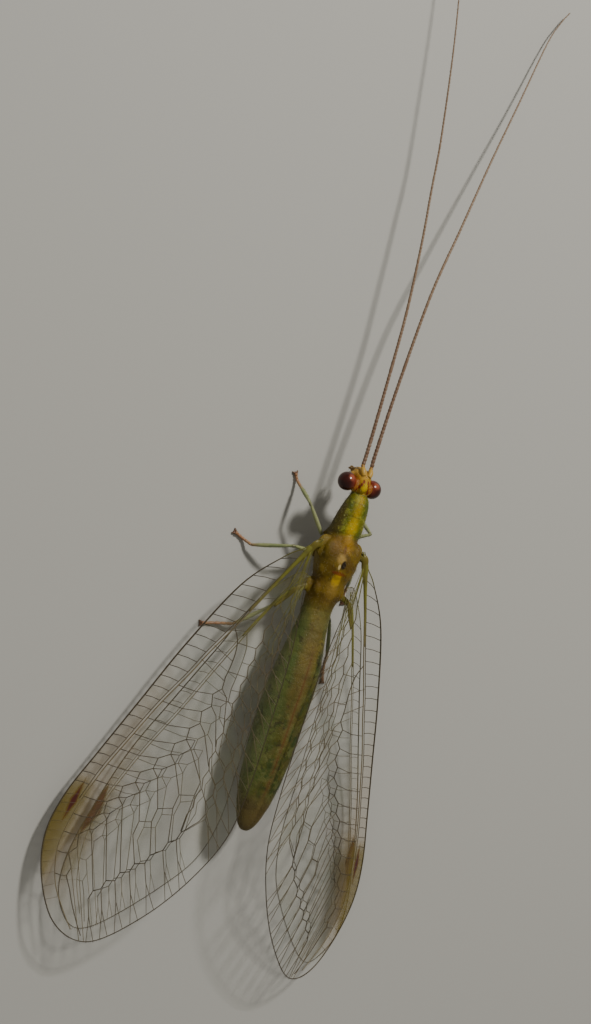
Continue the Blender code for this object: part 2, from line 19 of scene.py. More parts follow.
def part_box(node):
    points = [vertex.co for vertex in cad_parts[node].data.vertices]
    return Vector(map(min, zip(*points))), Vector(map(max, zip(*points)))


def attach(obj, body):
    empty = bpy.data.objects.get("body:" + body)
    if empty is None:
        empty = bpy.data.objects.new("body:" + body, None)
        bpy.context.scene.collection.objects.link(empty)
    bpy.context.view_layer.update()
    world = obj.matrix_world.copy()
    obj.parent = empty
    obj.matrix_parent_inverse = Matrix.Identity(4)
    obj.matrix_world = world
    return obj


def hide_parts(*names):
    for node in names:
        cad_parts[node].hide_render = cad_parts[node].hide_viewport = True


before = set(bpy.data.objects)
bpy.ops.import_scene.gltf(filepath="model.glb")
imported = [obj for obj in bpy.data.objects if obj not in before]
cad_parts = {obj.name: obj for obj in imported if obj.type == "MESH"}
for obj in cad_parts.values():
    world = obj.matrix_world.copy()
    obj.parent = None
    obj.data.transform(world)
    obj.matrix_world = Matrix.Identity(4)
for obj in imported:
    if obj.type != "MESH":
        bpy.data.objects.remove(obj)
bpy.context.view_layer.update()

# %% [markdown]
# ## One ruler for every part
#
# An insect is easier to think about in millimetres than in metres. The ruler starts under the middle of
# the thorax, with +X to the animal's left, -Y towards its head and Z up from the floor. Where that point
# lies in the model is read from the thorax solid itself, so the dressing follows the model if it moves.

# %% The ruler
MM = 0.001
THORAX_FRONT = -0.08
thorax_low, thorax_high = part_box("mesothorax")
BODY = Vector(((thorax_low.x + thorax_high.x) / 2, thorax_low.y - THORAX_FRONT * MM, 0.0))


def mix(a, b, share):
    return a + (b - a) * share


def ease(share):
    """0 to 1 with a soft start and a soft end."""
    share = np.clip(share, 0.0, 1.0)
    return share * share * (3.0 - 2.0 * share)


print("the ruler starts at", [round(x / MM, 3) for x in BODY], "mm")

# %% [markdown]
# ## The camera
#
# The animal is seen from above and a little from its left, from close by, and the picture is turned so
# that the head points to the upper right. So the camera is built from the direction it looks along, a
# roll about that direction, and the pixel that the middle of the thorax falls on. The lens follows from
# how many pixels a millimetre takes at that distance.

# %% Camera
PICTURE = (591, 1024)
PIXELS_PER_MM = 24.0
THORAX_PIXEL = (340.0, 542.0)
THORAX_MIDDLE = Vector((0.0, 0.0, 2.1))
CAMERA_DISTANCE = 55.0
LEAN_LEFT = math.radians(25.5)
LEAN_BACK = math.radians(0.8)
ROLL = math.radians(18.1)
SENSOR = 36.0

towards = Vector((math.sin(LEAN_LEFT) * math.cos(LEAN_BACK), math.sin(LEAN_BACK),
                  math.cos(LEAN_LEFT) * math.cos(LEAN_BACK)))
ahead = Vector((0.0, -1.0, 0.0))
ahead = (ahead - towards * ahead.dot(towards)).normalized()
across = ahead.cross(towards)
right = across * math.cos(ROLL) + ahead * math.sin(ROLL)
up = ahead * math.cos(ROLL) - across * math.sin(ROLL)
target = (THORAX_MIDDLE + right * ((PICTURE[0] / 2 - THORAX_PIXEL[0]) / PIXELS_PER_MM)
          + up * ((THORAX_PIXEL[1] - PICTURE[1] / 2) / PIXELS_PER_MM))

camera_data = bpy.data.cameras.new("camera")
camera_data.sensor_width = SENSOR
camera_data.lens = SENSOR * CAMERA_DISTANCE / (PICTURE[1] / PIXELS_PER_MM)
camera_data.clip_start = 1 * MM
camera_data.clip_end = 3.0
camera = bpy.data.objects.new("camera", camera_data)
bpy.context.scene.collection.objects.link(camera)
turn = Matrix((right, up, towards)).transposed().to_4x4()
camera.matrix_world = Matrix.Translation(BODY + (target + towards * CAMERA_DISTANCE) * MM) @ turn
bpy.context.scene.camera = camera
print("lens", round(camera_data.lens, 1), "mm")

# %% [markdown]
# ## Floor and light
#
# The animal stands on a plain pale floor. One broad soft lamp in front of the head gives the shadows that
# fall behind it, and a grey sky fills them, so that every side of the model can be looked at.

# %% Floor and light
FLOOR_RADIUS = 0.32
LIGHT_WAY = Vector((0.20, 1.0, -0.97)).normalized()
LIGHT_DISTANCE = 0.19
LIGHT_SIZE = 0.019
LIGHT_POWER = 0.365
SKY = (0.86, 0.84, 0.78)
SKY_STRENGTH = 0.345


def make_floor():
    bm = bmesh.new()
    bmesh.ops.create_circle(bm, cap_ends=True, segments=96, radius=FLOOR_RADIUS)
    mesh = bpy.data.meshes.new("floor")
    bm.to_mesh(mesh)
    bm.free()
    floor = bpy.data.objects.new("floor", mesh)
    bpy.context.scene.collection.objects.link(floor)
    material = bpy.data.materials.new("pale_floor")
    material.use_nodes = True
    shader = material.node_tree.nodes["Principled BSDF"]
    shader.inputs["Base Color"].default_value = (0.405, 0.397, 0.365, 1.0)
    shader.inputs["Roughness"].default_value = 0.6
    shader.inputs["Specular IOR Level"].default_value = 0.25
    mesh.materials.append(material)


def make_lamp(name, way, distance, size, power, colour):
    """A square soft lamp that shines along a direction at the animal."""
    data = bpy.data.lights.new(name, "AREA")
    data.size = size
    data.energy = power
    data.color = colour
    lamp = bpy.data.objects.new(name, data)
    lamp.matrix_world = (Matrix.Translation(BODY - way * distance)
                         @ way.to_track_quat("-Z", "Y").to_matrix().to_4x4())
    bpy.context.scene.collection.objects.link(lamp)


make_floor()
make_lamp("key_lamp", LIGHT_WAY, LIGHT_DISTANCE, LIGHT_SIZE, LIGHT_POWER, (1.0, 0.98, 0.94))
world = bpy.data.worlds.new("sky")
world.use_nodes = True
world.node_tree.nodes["Background"].inputs["Color"].default_value = (*SKY, 1.0)
world.node_tree.nodes["Background"].inputs["Strength"].default_value = SKY_STRENGTH
bpy.context.scene.world = world
print("one lamp and a grey sky")

# %% [markdown]
# ## Shapes from points and faces
#
# Most parts of an insect are bars that bend and taper, so one helper makes a bar: it carries a ring of
# points along a path without twisting it, and closes both ends. A `Shape` gathers many bars into one
# piece. Each point also keeps two numbers, how far along its part it lies and a free second one, which
# the materials read later to change colour along a leg, an antenna or a wing.

# %% Shapes
HAIR_RADIUS = 0.006


class Shape:
    """Points, faces and two numbers for each point, in millimetres."""

    def __init__(self):
        self.points = []
        self.faces = []
        self.along = []
        self.extra = []
        self.finish = []

    def add(self, points, faces, along=0.0, extra=0.0, finish=0):
        first = len(self.points)
        self.points += [tuple(p) for p in points]
        self.faces += [tuple(first + k for k in face) for face in faces]
        self.along += list(np.broadcast_to(along, len(points)))
        self.extra += list(np.broadcast_to(extra, len(points)))
        self.finish += [finish] * len(faces)


def smooth_path(points, steps):
    """A smooth curve through the points, with this many steps between each two."""
    points = np.asarray(points, float)
    padded = np.vstack([2 * points[:1] - points[1:2], points, 2 * points[-1:] - points[-2:-1]])
    share = np.linspace(0.0, 1.0, steps, endpoint=False)[:, None]
    out = []
    for a, b, c, d in zip(padded, padded[1:], padded[2:], padded[3:]):
        bend = (2 * a - 5 * b + 4 * c - d) * share ** 2 + (3 * b - a - 3 * c + d) * share ** 3
        out.append(0.5 * (2 * b + (c - a) * share + bend))
    return np.vstack([*out, points[-1:]])


def bar(shape, path, radii, sides=8, along=None, extra=0.0, finish=0, flat=1.0):
    """A bar round the path that tapers by its radii; flat squeezes it from top to bottom."""
    path = np.asarray(path, float)
    count = len(path)
    radii = np.broadcast_to(radii, count)
    along = np.linspace(0.0, 1.0, count) if along is None else np.broadcast_to(along, count)
    extra = np.broadcast_to(extra, count)
    ways = np.gradient(path, axis=0)
    ways /= np.linalg.norm(ways, axis=1)[:, None]
    level = np.array((0.0, 0.0, 1.0)) if abs(ways[0][2]) < 0.9 else np.array((0.0, 1.0, 0.0))
    side = np.cross(level, ways[0])
    angle = 2 * np.pi * np.arange(sides) / sides
    points = []
    for place, way, radius in zip(path, ways, radii):
        side = side - way * side.dot(way)
        side = side / np.linalg.norm(side)
        over = np.cross(way, side)
        ring = np.outer(np.cos(angle), side) + np.outer(np.sin(angle), over) * flat
        points.append(place + radius * ring)
    faces = [tuple(reversed(range(sides)))]
    for k in range(count - 1):
        for n in range(sides):
            m = (n + 1) % sides
            faces.append((k * sides + n, k * sides + m, (k + 1) * sides + m, (k + 1) * sides + n))
    faces.append(tuple((count - 1) * sides + n for n in range(sides)))
    shape.add(np.vstack(points), faces, np.repeat(along, sides), np.repeat(extra, sides), finish)


def hair(shape, foot, tip, radius, along, extra):
    """A three-sided spike."""
    way = tip - foot
    side = np.cross(way, (0.31, 0.47, 0.83))
    side *= radius / np.linalg.norm(side)
    over = np.cross(way, side)
    over *= radius / np.linalg.norm(over)
    ring = [foot + side, foot - side * 0.5 + over * 0.87, foot - side * 0.5 - over * 0.87, tip]
    shape.add(ring, [(0, 2, 1), (0, 1, 3), (1, 2, 3), (2, 0, 3)], along, extra)


def bristles(shape, path, radii, along, chance, spacing, reach, extra=0.0):
    """Short hairs all round a bar, which lean towards its far end and stay off the floor."""
    path = np.asarray(path, float)
    ways = np.gradient(path, axis=0)
    walk = np.concatenate([[0.0], np.cumsum(np.linalg.norm(np.diff(path, axis=0), axis=1))])
    for place in np.arange(spacing, walk[-1], spacing):
        centre, way = (np.array([np.interp(place, walk, rows[:, k]) for k in range(3)]) for rows in (path, ways))
        way /= np.linalg.norm(way)
        out = np.array([chance.gauss(0.0, 1.0) for _ in range(3)])
        out -= way * out.dot(way)
        out /= np.linalg.norm(out)
        radius = np.interp(place, walk, radii)
        tip = centre + out * (radius + reach * chance.uniform(0.6, 1.0)) + way * reach * 0.9
        tip[2] = max(tip[2], 0.006)
        hair(shape, centre + out * radius * 0.85, tip, HAIR_RADIUS, np.interp(place, walk, along), extra)


def mesh_of(shape, name):
    """A Blender mesh of the shape, still in millimetres."""
    mesh = bpy.data.meshes.new(name)
    mesh.from_pydata(shape.points, [], shape.faces)
    mesh.polygons.foreach_set("material_index", shape.finish)
    for word, values in (("along", shape.along), ("extra", shape.extra)):
        attribute = mesh.attributes.new(word, "FLOAT", "POINT")
        attribute.data.foreach_set("value", np.asarray(values, np.float32))
    return mesh


def put(mesh, name, materials, nodes):
    """Makes a piece of the finished mesh, in place of these plain solids."""
    mesh.transform(Matrix.Translation(BODY) @ Matrix.Scale(MM, 4))
    mesh.materials.clear()
    for material in materials:
        mesh.materials.append(material)
    mesh.shade_smooth()
    piece = bpy.data.objects.new(name, mesh)
    bpy.context.scene.collection.objects.link(piece)
    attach(piece, "root")
    if nodes:
        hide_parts(*nodes)
    print(name, len(mesh.polygons), "faces")
    return piece


def applied(mesh, *modifiers):
    """The mesh with modifiers applied; each is a type and its settings."""
    holder = bpy.data.objects.new("holder", mesh)
    bpy.context.scene.collection.objects.link(holder)
    for kind, settings in modifiers:
        modifier = holder.modifiers.new(kind.lower(), kind)
        for key, value in settings.items():
            setattr(modifier, key, value)
    bpy.context.view_layer.update()
    shaped = bpy.data.meshes.new_from_object(holder.evaluated_get(bpy.context.evaluated_depsgraph_get()))
    bpy.data.objects.remove(holder, do_unlink=True)
    return shaped


# %% [markdown]
# ## Effects that several materials share
#
# Cuticle, wing and eye all need the same few ingredients: a place in millimetres, a soft band, a soft
# spot, a mottle and a fine grain. Each is a node group, made once, with named sockets. The groups give
# masks and values only; the shader itself stays in each material, where it is easy to find.

# %% Node groups
def socket(tree, name, way, kind, value=None):
    made = tree.interface.new_socket(name, in_out=way, socket_type="NodeSocket" + kind)
    if value is not None:
        made.default_value = value


def add_node(tree, kind, links=(), values=(), **settings):
    """A node with its settings, its plain values, and what feeds it."""
    made = tree.nodes.new("ShaderNode" + kind)
    for key, value in settings.items():
        setattr(made, key, value)
    for key, value in values:
        made.inputs[key].default_value = value
    for key, source in links:
        tree.links.new(source, made.inputs[key])
    return made


def new_group(name, inputs, outputs):
    tree = bpy.data.node_groups.new(name, "ShaderNodeTree")
    for word, kind, value in inputs:
        socket(tree, word, "INPUT", kind, value)
    for word, kind in outputs:
        socket(tree, word, "OUTPUT", kind)
    return tree, tree.nodes.new("NodeGroupInput"), tree.nodes.new("NodeGroupOutput")


def soft_step(tree, value, low, high):
    """Rises softly from 0 to 1 between low and high, which are sockets or numbers."""
    made = add_node(tree, "MapRange", interpolation_type="SMOOTHSTEP", clamp=True)
    for key, source in (("Value", value), ("From Min", low), ("From Max", high)):
        if isinstance(source, float):
            made.inputs[key].default_value = source
        else:
            tree.links.new(source, made.inputs[key])
    return made.outputs["Result"]


def maths(tree, operation, first, second=0.0):
    made = add_node(tree, "Math", operation=operation)
    for k, source in enumerate((first, second)):
        if isinstance(source, (int, float)):
            made.inputs[k].default_value = source
        else:
            tree.links.new(source, made.inputs[k])
    return made.outputs[0]


def make_ruler_group():
    """The place on the body in millimetres from the thorax."""
    tree, _, out = new_group("body_ruler", (), (("Place", "Vector"), ("X", "Float"), ("Y", "Float"), ("Z", "Float")))
    here = add_node(tree, "TexCoord")
    moved = add_node(tree, "VectorMath", [(0, here.outputs["Object"])], [(1, BODY)], operation="SUBTRACT")
    scaled = add_node(tree, "VectorMath", [(0, moved.outputs[0])], [("Scale", 1 / MM)], operation="SCALE")
    parts = add_node(tree, "SeparateXYZ", [(0, scaled.outputs[0])])
    tree.links.new(scaled.outputs[0], out.inputs["Place"])
    for word in "XYZ":
        tree.links.new(parts.outputs[word], out.inputs[word])
    return tree


def make_band_group():
    """1 between two values, with soft edges."""
    tree, given, out = new_group("soft_band", (("Value", "Float", 0.0), ("Start", "Float", 0.0),
                                               ("End", "Float", 1.0), ("Softness", "Float", 0.1)),
                                 (("Mask", "Float"),))
    value, start, end, soft = (given.outputs[k] for k in range(4))
    rise = soft_step(tree, value, maths(tree, "SUBTRACT", start, soft), maths(tree, "ADD", start, soft))
    fall = soft_step(tree, value, maths(tree, "SUBTRACT", end, soft), maths(tree, "ADD", end, soft))
    tree.links.new(maths(tree, "MULTIPLY", rise, maths(tree, "SUBTRACT", 1.0, fall)), out.inputs["Mask"])
    return tree


def make_spot_group():
    """1 inside an ellipsoid, with a soft and slightly ragged edge."""
    tree, given, out = new_group("soft_spot", (("Place", "Vector", None), ("Centre", "Vector", (0.0, 0.0, 0.0)),
                                               ("Size", "Vector", (1.0, 1.0, 1.0)), ("Softness", "Float", 0.3)),
                                 (("Mask", "Float"),))
    away = add_node(tree, "VectorMath", [(0, given.outputs["Place"]), (1, given.outputs["Centre"])],
                    operation="SUBTRACT")
    scaled = add_node(tree, "VectorMath", [(0, away.outputs[0]), (1, given.outputs["Size"])], operation="DIVIDE")
    reach = add_node(tree, "VectorMath", [(0, scaled.outputs[0])], operation="LENGTH")
    rough = add_node(tree, "TexNoise", [("Vector", given.outputs["Place"])], [("Scale", 5.0), ("Detail", 3.0)])
    ragged = maths(tree, "MULTIPLY", maths(tree, "SUBTRACT", rough.outputs["Fac"], 0.5), 0.9)
    edge = maths(tree, "ADD", reach.outputs["Value"], ragged)
    soft = given.outputs["Softness"]
    fall = soft_step(tree, edge, maths(tree, "SUBTRACT", 1.0, soft), maths(tree, "ADD", 1.0, soft))
    tree.links.new(maths(tree, "SUBTRACT", 1.0, fall), out.inputs["Mask"])
    return tree


def make_mottle_group():
    """Cloudy patches between 0 and 1."""
    tree, given, out = new_group("mottle", (("Place", "Vector", None), ("Scale", "Float", 3.0),
                                            ("Low", "Float", 0.4), ("High", "Float", 0.6)), (("Mask", "Float"),))
    cloud = add_node(tree, "TexNoise", [("Vector", given.outputs["Place"]), ("Scale", given.outputs["Scale"])],
                     [("Detail", 4.0), ("Roughness", 0.55)])
    mask = soft_step(tree, cloud.outputs["Fac"], given.outputs["Low"], given.outputs["High"])
    tree.links.new(mask, out.inputs["Mask"])
    return tree


def make_grain_group():
    """The fine leathery grain of cuticle, as a height for bump: shallow wrinkles and tiny pits."""
    tree, given, out = new_group("cuticle_grain", (("Place", "Vector", None), ("Wrinkles", "Float", 9.0),
                                                   ("Pits", "Float", 38.0)), (("Height", "Float"),))
    folds = add_node(tree, "TexNoise", [("Vector", given.outputs["Place"]), ("Scale", given.outputs["Wrinkles"])],
                     [("Detail", 5.0), ("Roughness", 0.6)])
    pits = add_node(tree, "TexVoronoi", [("Vector", given.outputs["Place"]), ("Scale", given.outputs["Pits"])])
    fine = maths(tree, "MULTIPLY", pits.outputs["Distance"], 0.35)
    tree.links.new(maths(tree, "ADD", folds.outputs["Fac"], fine), out.inputs["Height"])
    return tree


GROUPS = {made.name: made for made in (make_ruler_group(), make_band_group(), make_spot_group(),
                                       make_mottle_group(), make_grain_group())}
print("groups:", ", ".join(GROUPS))


# %% Building a material
class Finish:
    """A material with helpers that lay one colour over another through a mask."""

    def __init__(self, name, base, roughness, **plain):
        self.material = bpy.data.materials.new(name)
        self.material.use_nodes = True
        self.tree = self.material.node_tree
        self.shader = self.tree.nodes["Principled BSDF"]
        self.shader.inputs["Roughness"].default_value = roughness
        for key, value in plain.items():
            self.shader.inputs[key.replace("_", " ")].default_value = value
        ground = add_node(self.tree, "RGB")
        ground.outputs[0].default_value = (*base, 1.0)
        self.colour = ground.outputs[0]
        self.ruler = self.group("body_ruler")

    def group(self, name, links=(), values=()):
        made = add_node(self.tree, "Group", node_tree=GROUPS[name])
        for key, value in values:
            made.inputs[key].default_value = value
        for key, source in links:
            self.tree.links.new(source, made.inputs[key])
        return made

    def attribute(self, name):
        return add_node(self.tree, "Attribute", attribute_name=name).outputs["Fac"]

    def band(self, value, start, end, softness):
        return self.group("soft_band", [("Value", value)],
                          [("Start", start), ("End", end), ("Softness", softness)]).outputs["Mask"]

    def spot(self, centre, size, softness=0.3):
        return self.group("soft_spot", [("Place", self.ruler.outputs["Place"])],
                          [("Centre", centre), ("Size", size), ("Softness", softness)]).outputs["Mask"]

    def mottle(self, scale, low=0.42, high=0.6):
        return self.group("mottle", [("Place", self.ruler.outputs["Place"])],
                          [("Scale", scale), ("Low", low), ("High", high)]).outputs["Mask"]

    def times(self, first, second):
        return maths(self.tree, "MULTIPLY", first, second)

    def lay(self, colour, mask, strength=1.0):
        """Puts a colour over what is there, where the mask is 1."""
        blend = add_node(self.tree, "Mix", data_type="RGBA")
        self.tree.links.new(maths(self.tree, "MULTIPLY", mask, strength), blend.inputs["Factor"])
        self.tree.links.new(self.colour, blend.inputs["A"])
        blend.inputs["B"].default_value = (*colour, 1.0)
        self.colour = blend.outputs["Result"]

    def grain(self, strength, wrinkles=9.0, pits=38.0, distance=0.02):
        """Bump from the shared cuticle grain, its depth in millimetres."""
        height = self.group("cuticle_grain", [("Place", self.ruler.outputs["Place"])],
                            [("Wrinkles", wrinkles), ("Pits", pits)])
        bump = add_node(self.tree, "Bump", [("Height", height.outputs["Height"])],
                        [("Strength", strength), ("Distance", distance * MM)])
        self.tree.links.new(bump.outputs["Normal"], self.shader.inputs["Normal"])

    def roughen(self, low, high, mask):
        """Lets the roughness run from low to high through a mask."""
        spread = maths(self.tree, "MULTIPLY", mask, high - low)
        self.tree.links.new(maths(self.tree, "ADD", spread, low), self.shader.inputs["Roughness"])

    def done(self):
        self.tree.links.new(self.colour, self.shader.inputs["Base Color"])
        return self.material


# %% [markdown]
# ## The body
#
# Head, neck, thorax and abdomen are one continuous skin on the living animal. It could be one sculpted
# mesh, but it is simpler to lay down overlapping closed forms (a lofted trunk, domes for the lobes of
# the thorax, cones for the hips) and fuse them with a voxel remesh, which welds every crease into a soft
# fold, as a real soft cuticle has. The widths and heights follow the plain solids from end to end.

# %% The trunk
TAIL_Y = 12.70
WAIST_Y = 2.90
ABDOMEN_SEGMENTS = 10
# Along the body: y, half width, half height, height of the middle, x of the middle.
TRUNK = ((-2.32, 0.26, 0.20, 2.20, -0.06), (-2.12, 0.37, 0.30, 2.24, -0.10), (-1.92, 0.47, 0.38, 2.27, -0.12),
         (-1.58, 0.57, 0.46, 2.25, -0.11), (-1.10, 0.65, 0.52, 2.19, -0.09), (-0.62, 0.70, 0.58, 2.12, -0.08),
         (-0.42, 0.71, 0.59, 2.08, -0.07), (-0.24, 0.68, 0.58, 2.06, -0.06), (0.00, 0.76, 0.70, 2.05, -0.08),
         (0.40, 0.91, 0.84, 2.05, -0.10), (0.85, 0.94, 0.88, 2.05, -0.11), (1.25, 0.86, 0.84, 2.05, -0.11),
         (1.62, 0.74, 0.74, 2.03, -0.10), (1.92, 0.74, 0.76, 2.00, -0.09), (2.22, 0.75, 0.77, 1.97, -0.08),
         (2.50, 0.68, 0.675, 1.935, -0.06), (2.70, 0.655, 0.625, 1.915, -0.05), (2.90, 0.642, 0.588, 1.90, -0.05))
SEAM_DEPTH = 0.009
PLATE_STEP = 0.008
ABDOMEN_SHIFT = -0.10


def abdomen_half_width(share):
    """Slim behind the thorax, full in the middle, blunt at the tip."""
    swell = mix(0.66, 1.05, ease(share / 0.36))
    return swell * math.sqrt(max(0.02, 1.0 - max(0.0, (share - 0.48) / 0.525) ** 2.3))


def abdomen_ring(share):
    """One ring of the abdomen: each plate swells, then steps in over the next one's front edge."""
    place = share * ABDOMEN_SEGMENTS % 1.0
    seam = SEAM_DEPTH * math.exp(-((min(place, 1.0 - place)) / 0.08) ** 2)
    plate = PLATE_STEP * (place - 0.5)
    half = abdomen_half_width(share) - seam + plate - 0.01
    height = mix(1.90, 1.70, float(ease(share / 0.6)))
    return (mix(WAIST_Y, TAIL_Y, share), half, half * 0.90, height, mix(-0.05, ABDOMEN_SHIFT, float(ease(share * 3))))


def loft(shape, rings, sides):
    """A closed body through rings; its back is a little flatter than its belly."""
    angle = 2 * np.pi * np.arange(sides) / sides
    points = []
    for y, wide, tall, middle, x in rings:
        rise = tall * np.sin(angle) * (1.0 - 0.08 * np.maximum(0.0, np.sin(angle)) ** 2)
        points.append(np.column_stack([x + wide * np.cos(angle), np.full(sides, y), middle + rise]))
    faces = [tuple(range(sides))]
    for k in range(len(rings) - 1):
        for n in range(sides):
            m = (n + 1) % sides
            faces.append((k * sides + m, k * sides + n, (k + 1) * sides + n, (k + 1) * sides + m))
    faces.append(tuple(reversed([(len(rings) - 1) * sides + n for n in range(sides)])))
    shape.add(np.vstack(points), faces)


def dome(shape, centre, size, tilt=0.0):
    """A ball stretched to three sizes, turned about the vertical by tilt degrees."""
    bm = bmesh.new()
    bmesh.ops.create_uvsphere(bm, u_segments=24, v_segments=16, radius=1.0)
    bmesh.ops.scale(bm, vec=size, verts=bm.verts)
    bmesh.ops.rotate(bm, cent=(0, 0, 0), matrix=Matrix.Rotation(math.radians(tilt), 3, "Z"), verts=bm.verts)
    bmesh.ops.translate(bm, vec=centre, verts=bm.verts)
    bm.verts.index_update()
    shape.add([v.co[:] for v in bm.verts], [[v.index for v in face.verts] for face in bm.faces])
    bm.free()


body = Shape()
abdomen_rings = [abdomen_ring(k / 240) for k in range(1, 241)]
loft(body, [tuple(ring) for ring in smooth_path(TRUNK, 6)] + abdomen_rings, 48)
print("trunk of", len(body.faces), "faces")

# %% [markdown]
# ## Lobes, hips and wing roots
#
# From above, the thorax of a lacewing is a set of low domes: a front lobe, two big side lobes with the
# flight muscles, a small shield behind them, and the same again, smaller, for the hind wings. Each leg
# hangs from a cone-shaped hip on the underside, and each wing from a small knob high on the side.

# %% Thorax lobes and hips
WING_KNOBS = {"fore": ((0.76, 0.34, 2.27), (0.34, 0.50, 0.15)), "hind": ((0.58, 2.06, 2.00), (0.34, 0.40, 0.14))}
# The hips: where each cone starts under the body, and where it ends.
HIPS = (((0.16, -0.60, 1.84), (0.30, -0.30, 1.62), (0.50, -0.08, 1.48)),
        ((0.30, 0.55, 1.55), (0.40, 0.72, 1.15), (0.48, 0.78, 0.95)),
        ((0.28, 1.90, 1.60), (0.38, 2.05, 1.16), (0.44, 2.12, 0.95)))
HIP_RADII = (0.30, 0.14)
LOBE_SHIFT = -0.08

dome(body, (LOBE_SHIFT, 0.12, 2.55), (0.36, 0.50, 0.20))
dome(body, (LOBE_SHIFT, 1.22, 2.62), (0.28, 0.36, 0.22))
dome(body, (LOBE_SHIFT, 2.22, 2.42), (0.30, 0.36, 0.24))
for way in (1, -1):
    dome(body, (way * 0.46 + LOBE_SHIFT, 0.55, 2.44), (0.40, 0.62, 0.28), way * 16)
    dome(body, (way * 0.50 + LOBE_SHIFT, 1.22, 2.36), (0.32, 0.38, 0.24))
    dome(body, (way * 0.44 + LOBE_SHIFT, 2.12, 2.28), (0.28, 0.40, 0.26), way * 12)
    for centre, size in WING_KNOBS.values():
        dome(body, (way * centre[0], *centre[1:]), size)
    for hip in HIPS:
        path = smooth_path([(way * x, y, z) for x, y, z in hip], 5)
        bar(body, path, np.linspace(*HIP_RADII, len(path)), 16)

# %% [markdown]
# ## The head
#
# A lacewing's head is short and wide, with a flat face that slopes forward to the mouth. Two feelers
# called palps hang on each side of the jaws. The antennae stand close together between the eyes.

# %% The head
HEAD = ((-2.14, 0.24, 0.24, 2.18, -0.03), (-2.28, 0.37, 0.38, 2.20, -0.02), (-2.50, 0.41, 0.46, 2.20, 0.0),
        (-2.74, 0.40, 0.47, 2.18, 0.0), (-2.94, 0.40, 0.44, 2.12, 0.0), (-3.08, 0.36, 0.38, 2.05, 0.0),
        (-3.18, 0.26, 0.26, 1.98, 0.0))
SOCKET = (0.12, -2.90, 2.50)
NECK_OF_THREAD = (0.21, -3.32, 2.32)
OUTER_PALP = ((0.20, -2.96, 1.74), (0.27, -3.06, 1.58), (0.29, -3.10, 1.42), (0.25, -3.10, 1.26))
INNER_PALP = ((0.10, -3.04, 1.64), (0.15, -3.16, 1.46), (0.17, -3.20, 1.30), (0.14, -3.20, 1.16))

loft(body, [tuple(ring) for ring in smooth_path(HEAD, 4)], 40)
dome(body, (0.0, -3.06, 1.88), (0.28, 0.20, 0.26))
dome(body, (0.0, -3.10, 1.66), (0.20, 0.16, 0.18))
dome(body, (-0.01, -2.52, 2.58), (0.22, 0.30, 0.12))
for way in (1, -1):
    dome(body, (way * SOCKET[0], SOCKET[1], SOCKET[2] - 0.04), (0.12, 0.13, 0.12))
    dome(body, (way * 0.34, -2.42, 2.42), (0.18, 0.26, 0.16), way * 12)
    dome(body, (way * 0.38, -2.76, 2.02), (0.16, 0.24, 0.22))
    dome(body, (way * 0.19, -3.04, 1.64), (0.11, 0.16, 0.13), way * -18)
    for palp, thick in ((OUTER_PALP, 0.060), (INNER_PALP, 0.050)):
        path = smooth_path([(way * x, y, z) for x, y, z in palp], 5)
        bar(body, path, thick * np.linspace(1.0, 0.80, len(path)), 12)
print("body of", len(body.faces), "faces before it is fused")

# %% Fusing the skin
VOXEL = 0.034
SMOOTHING = 6
body_mesh = applied(mesh_of(body, "body_parts"),
                    ("REMESH", dict(mode="VOXEL", voxel_size=VOXEL, adaptivity=0.0)),
                    ("SMOOTH", dict(factor=0.5, iterations=SMOOTHING)))
skin_spots = [(np.array(face.center), np.array(face.normal)) for face in body_mesh.polygons]
print("skin of", len(body_mesh.polygons), "faces")

# %% [markdown]
# ## The colours of the body
#
# The body is painted along its length: a yellow head with two red-brown lines, a green collar with a
# golden stripe, an amber thorax with dark seams, and an olive abdomen with a rusty line down its back.
# Real markings are never clean bands, so each one fades at its edges and is broken up by a mottle.
# A little light passes through soft cuticle, so some subsurface scattering goes into the same shader.

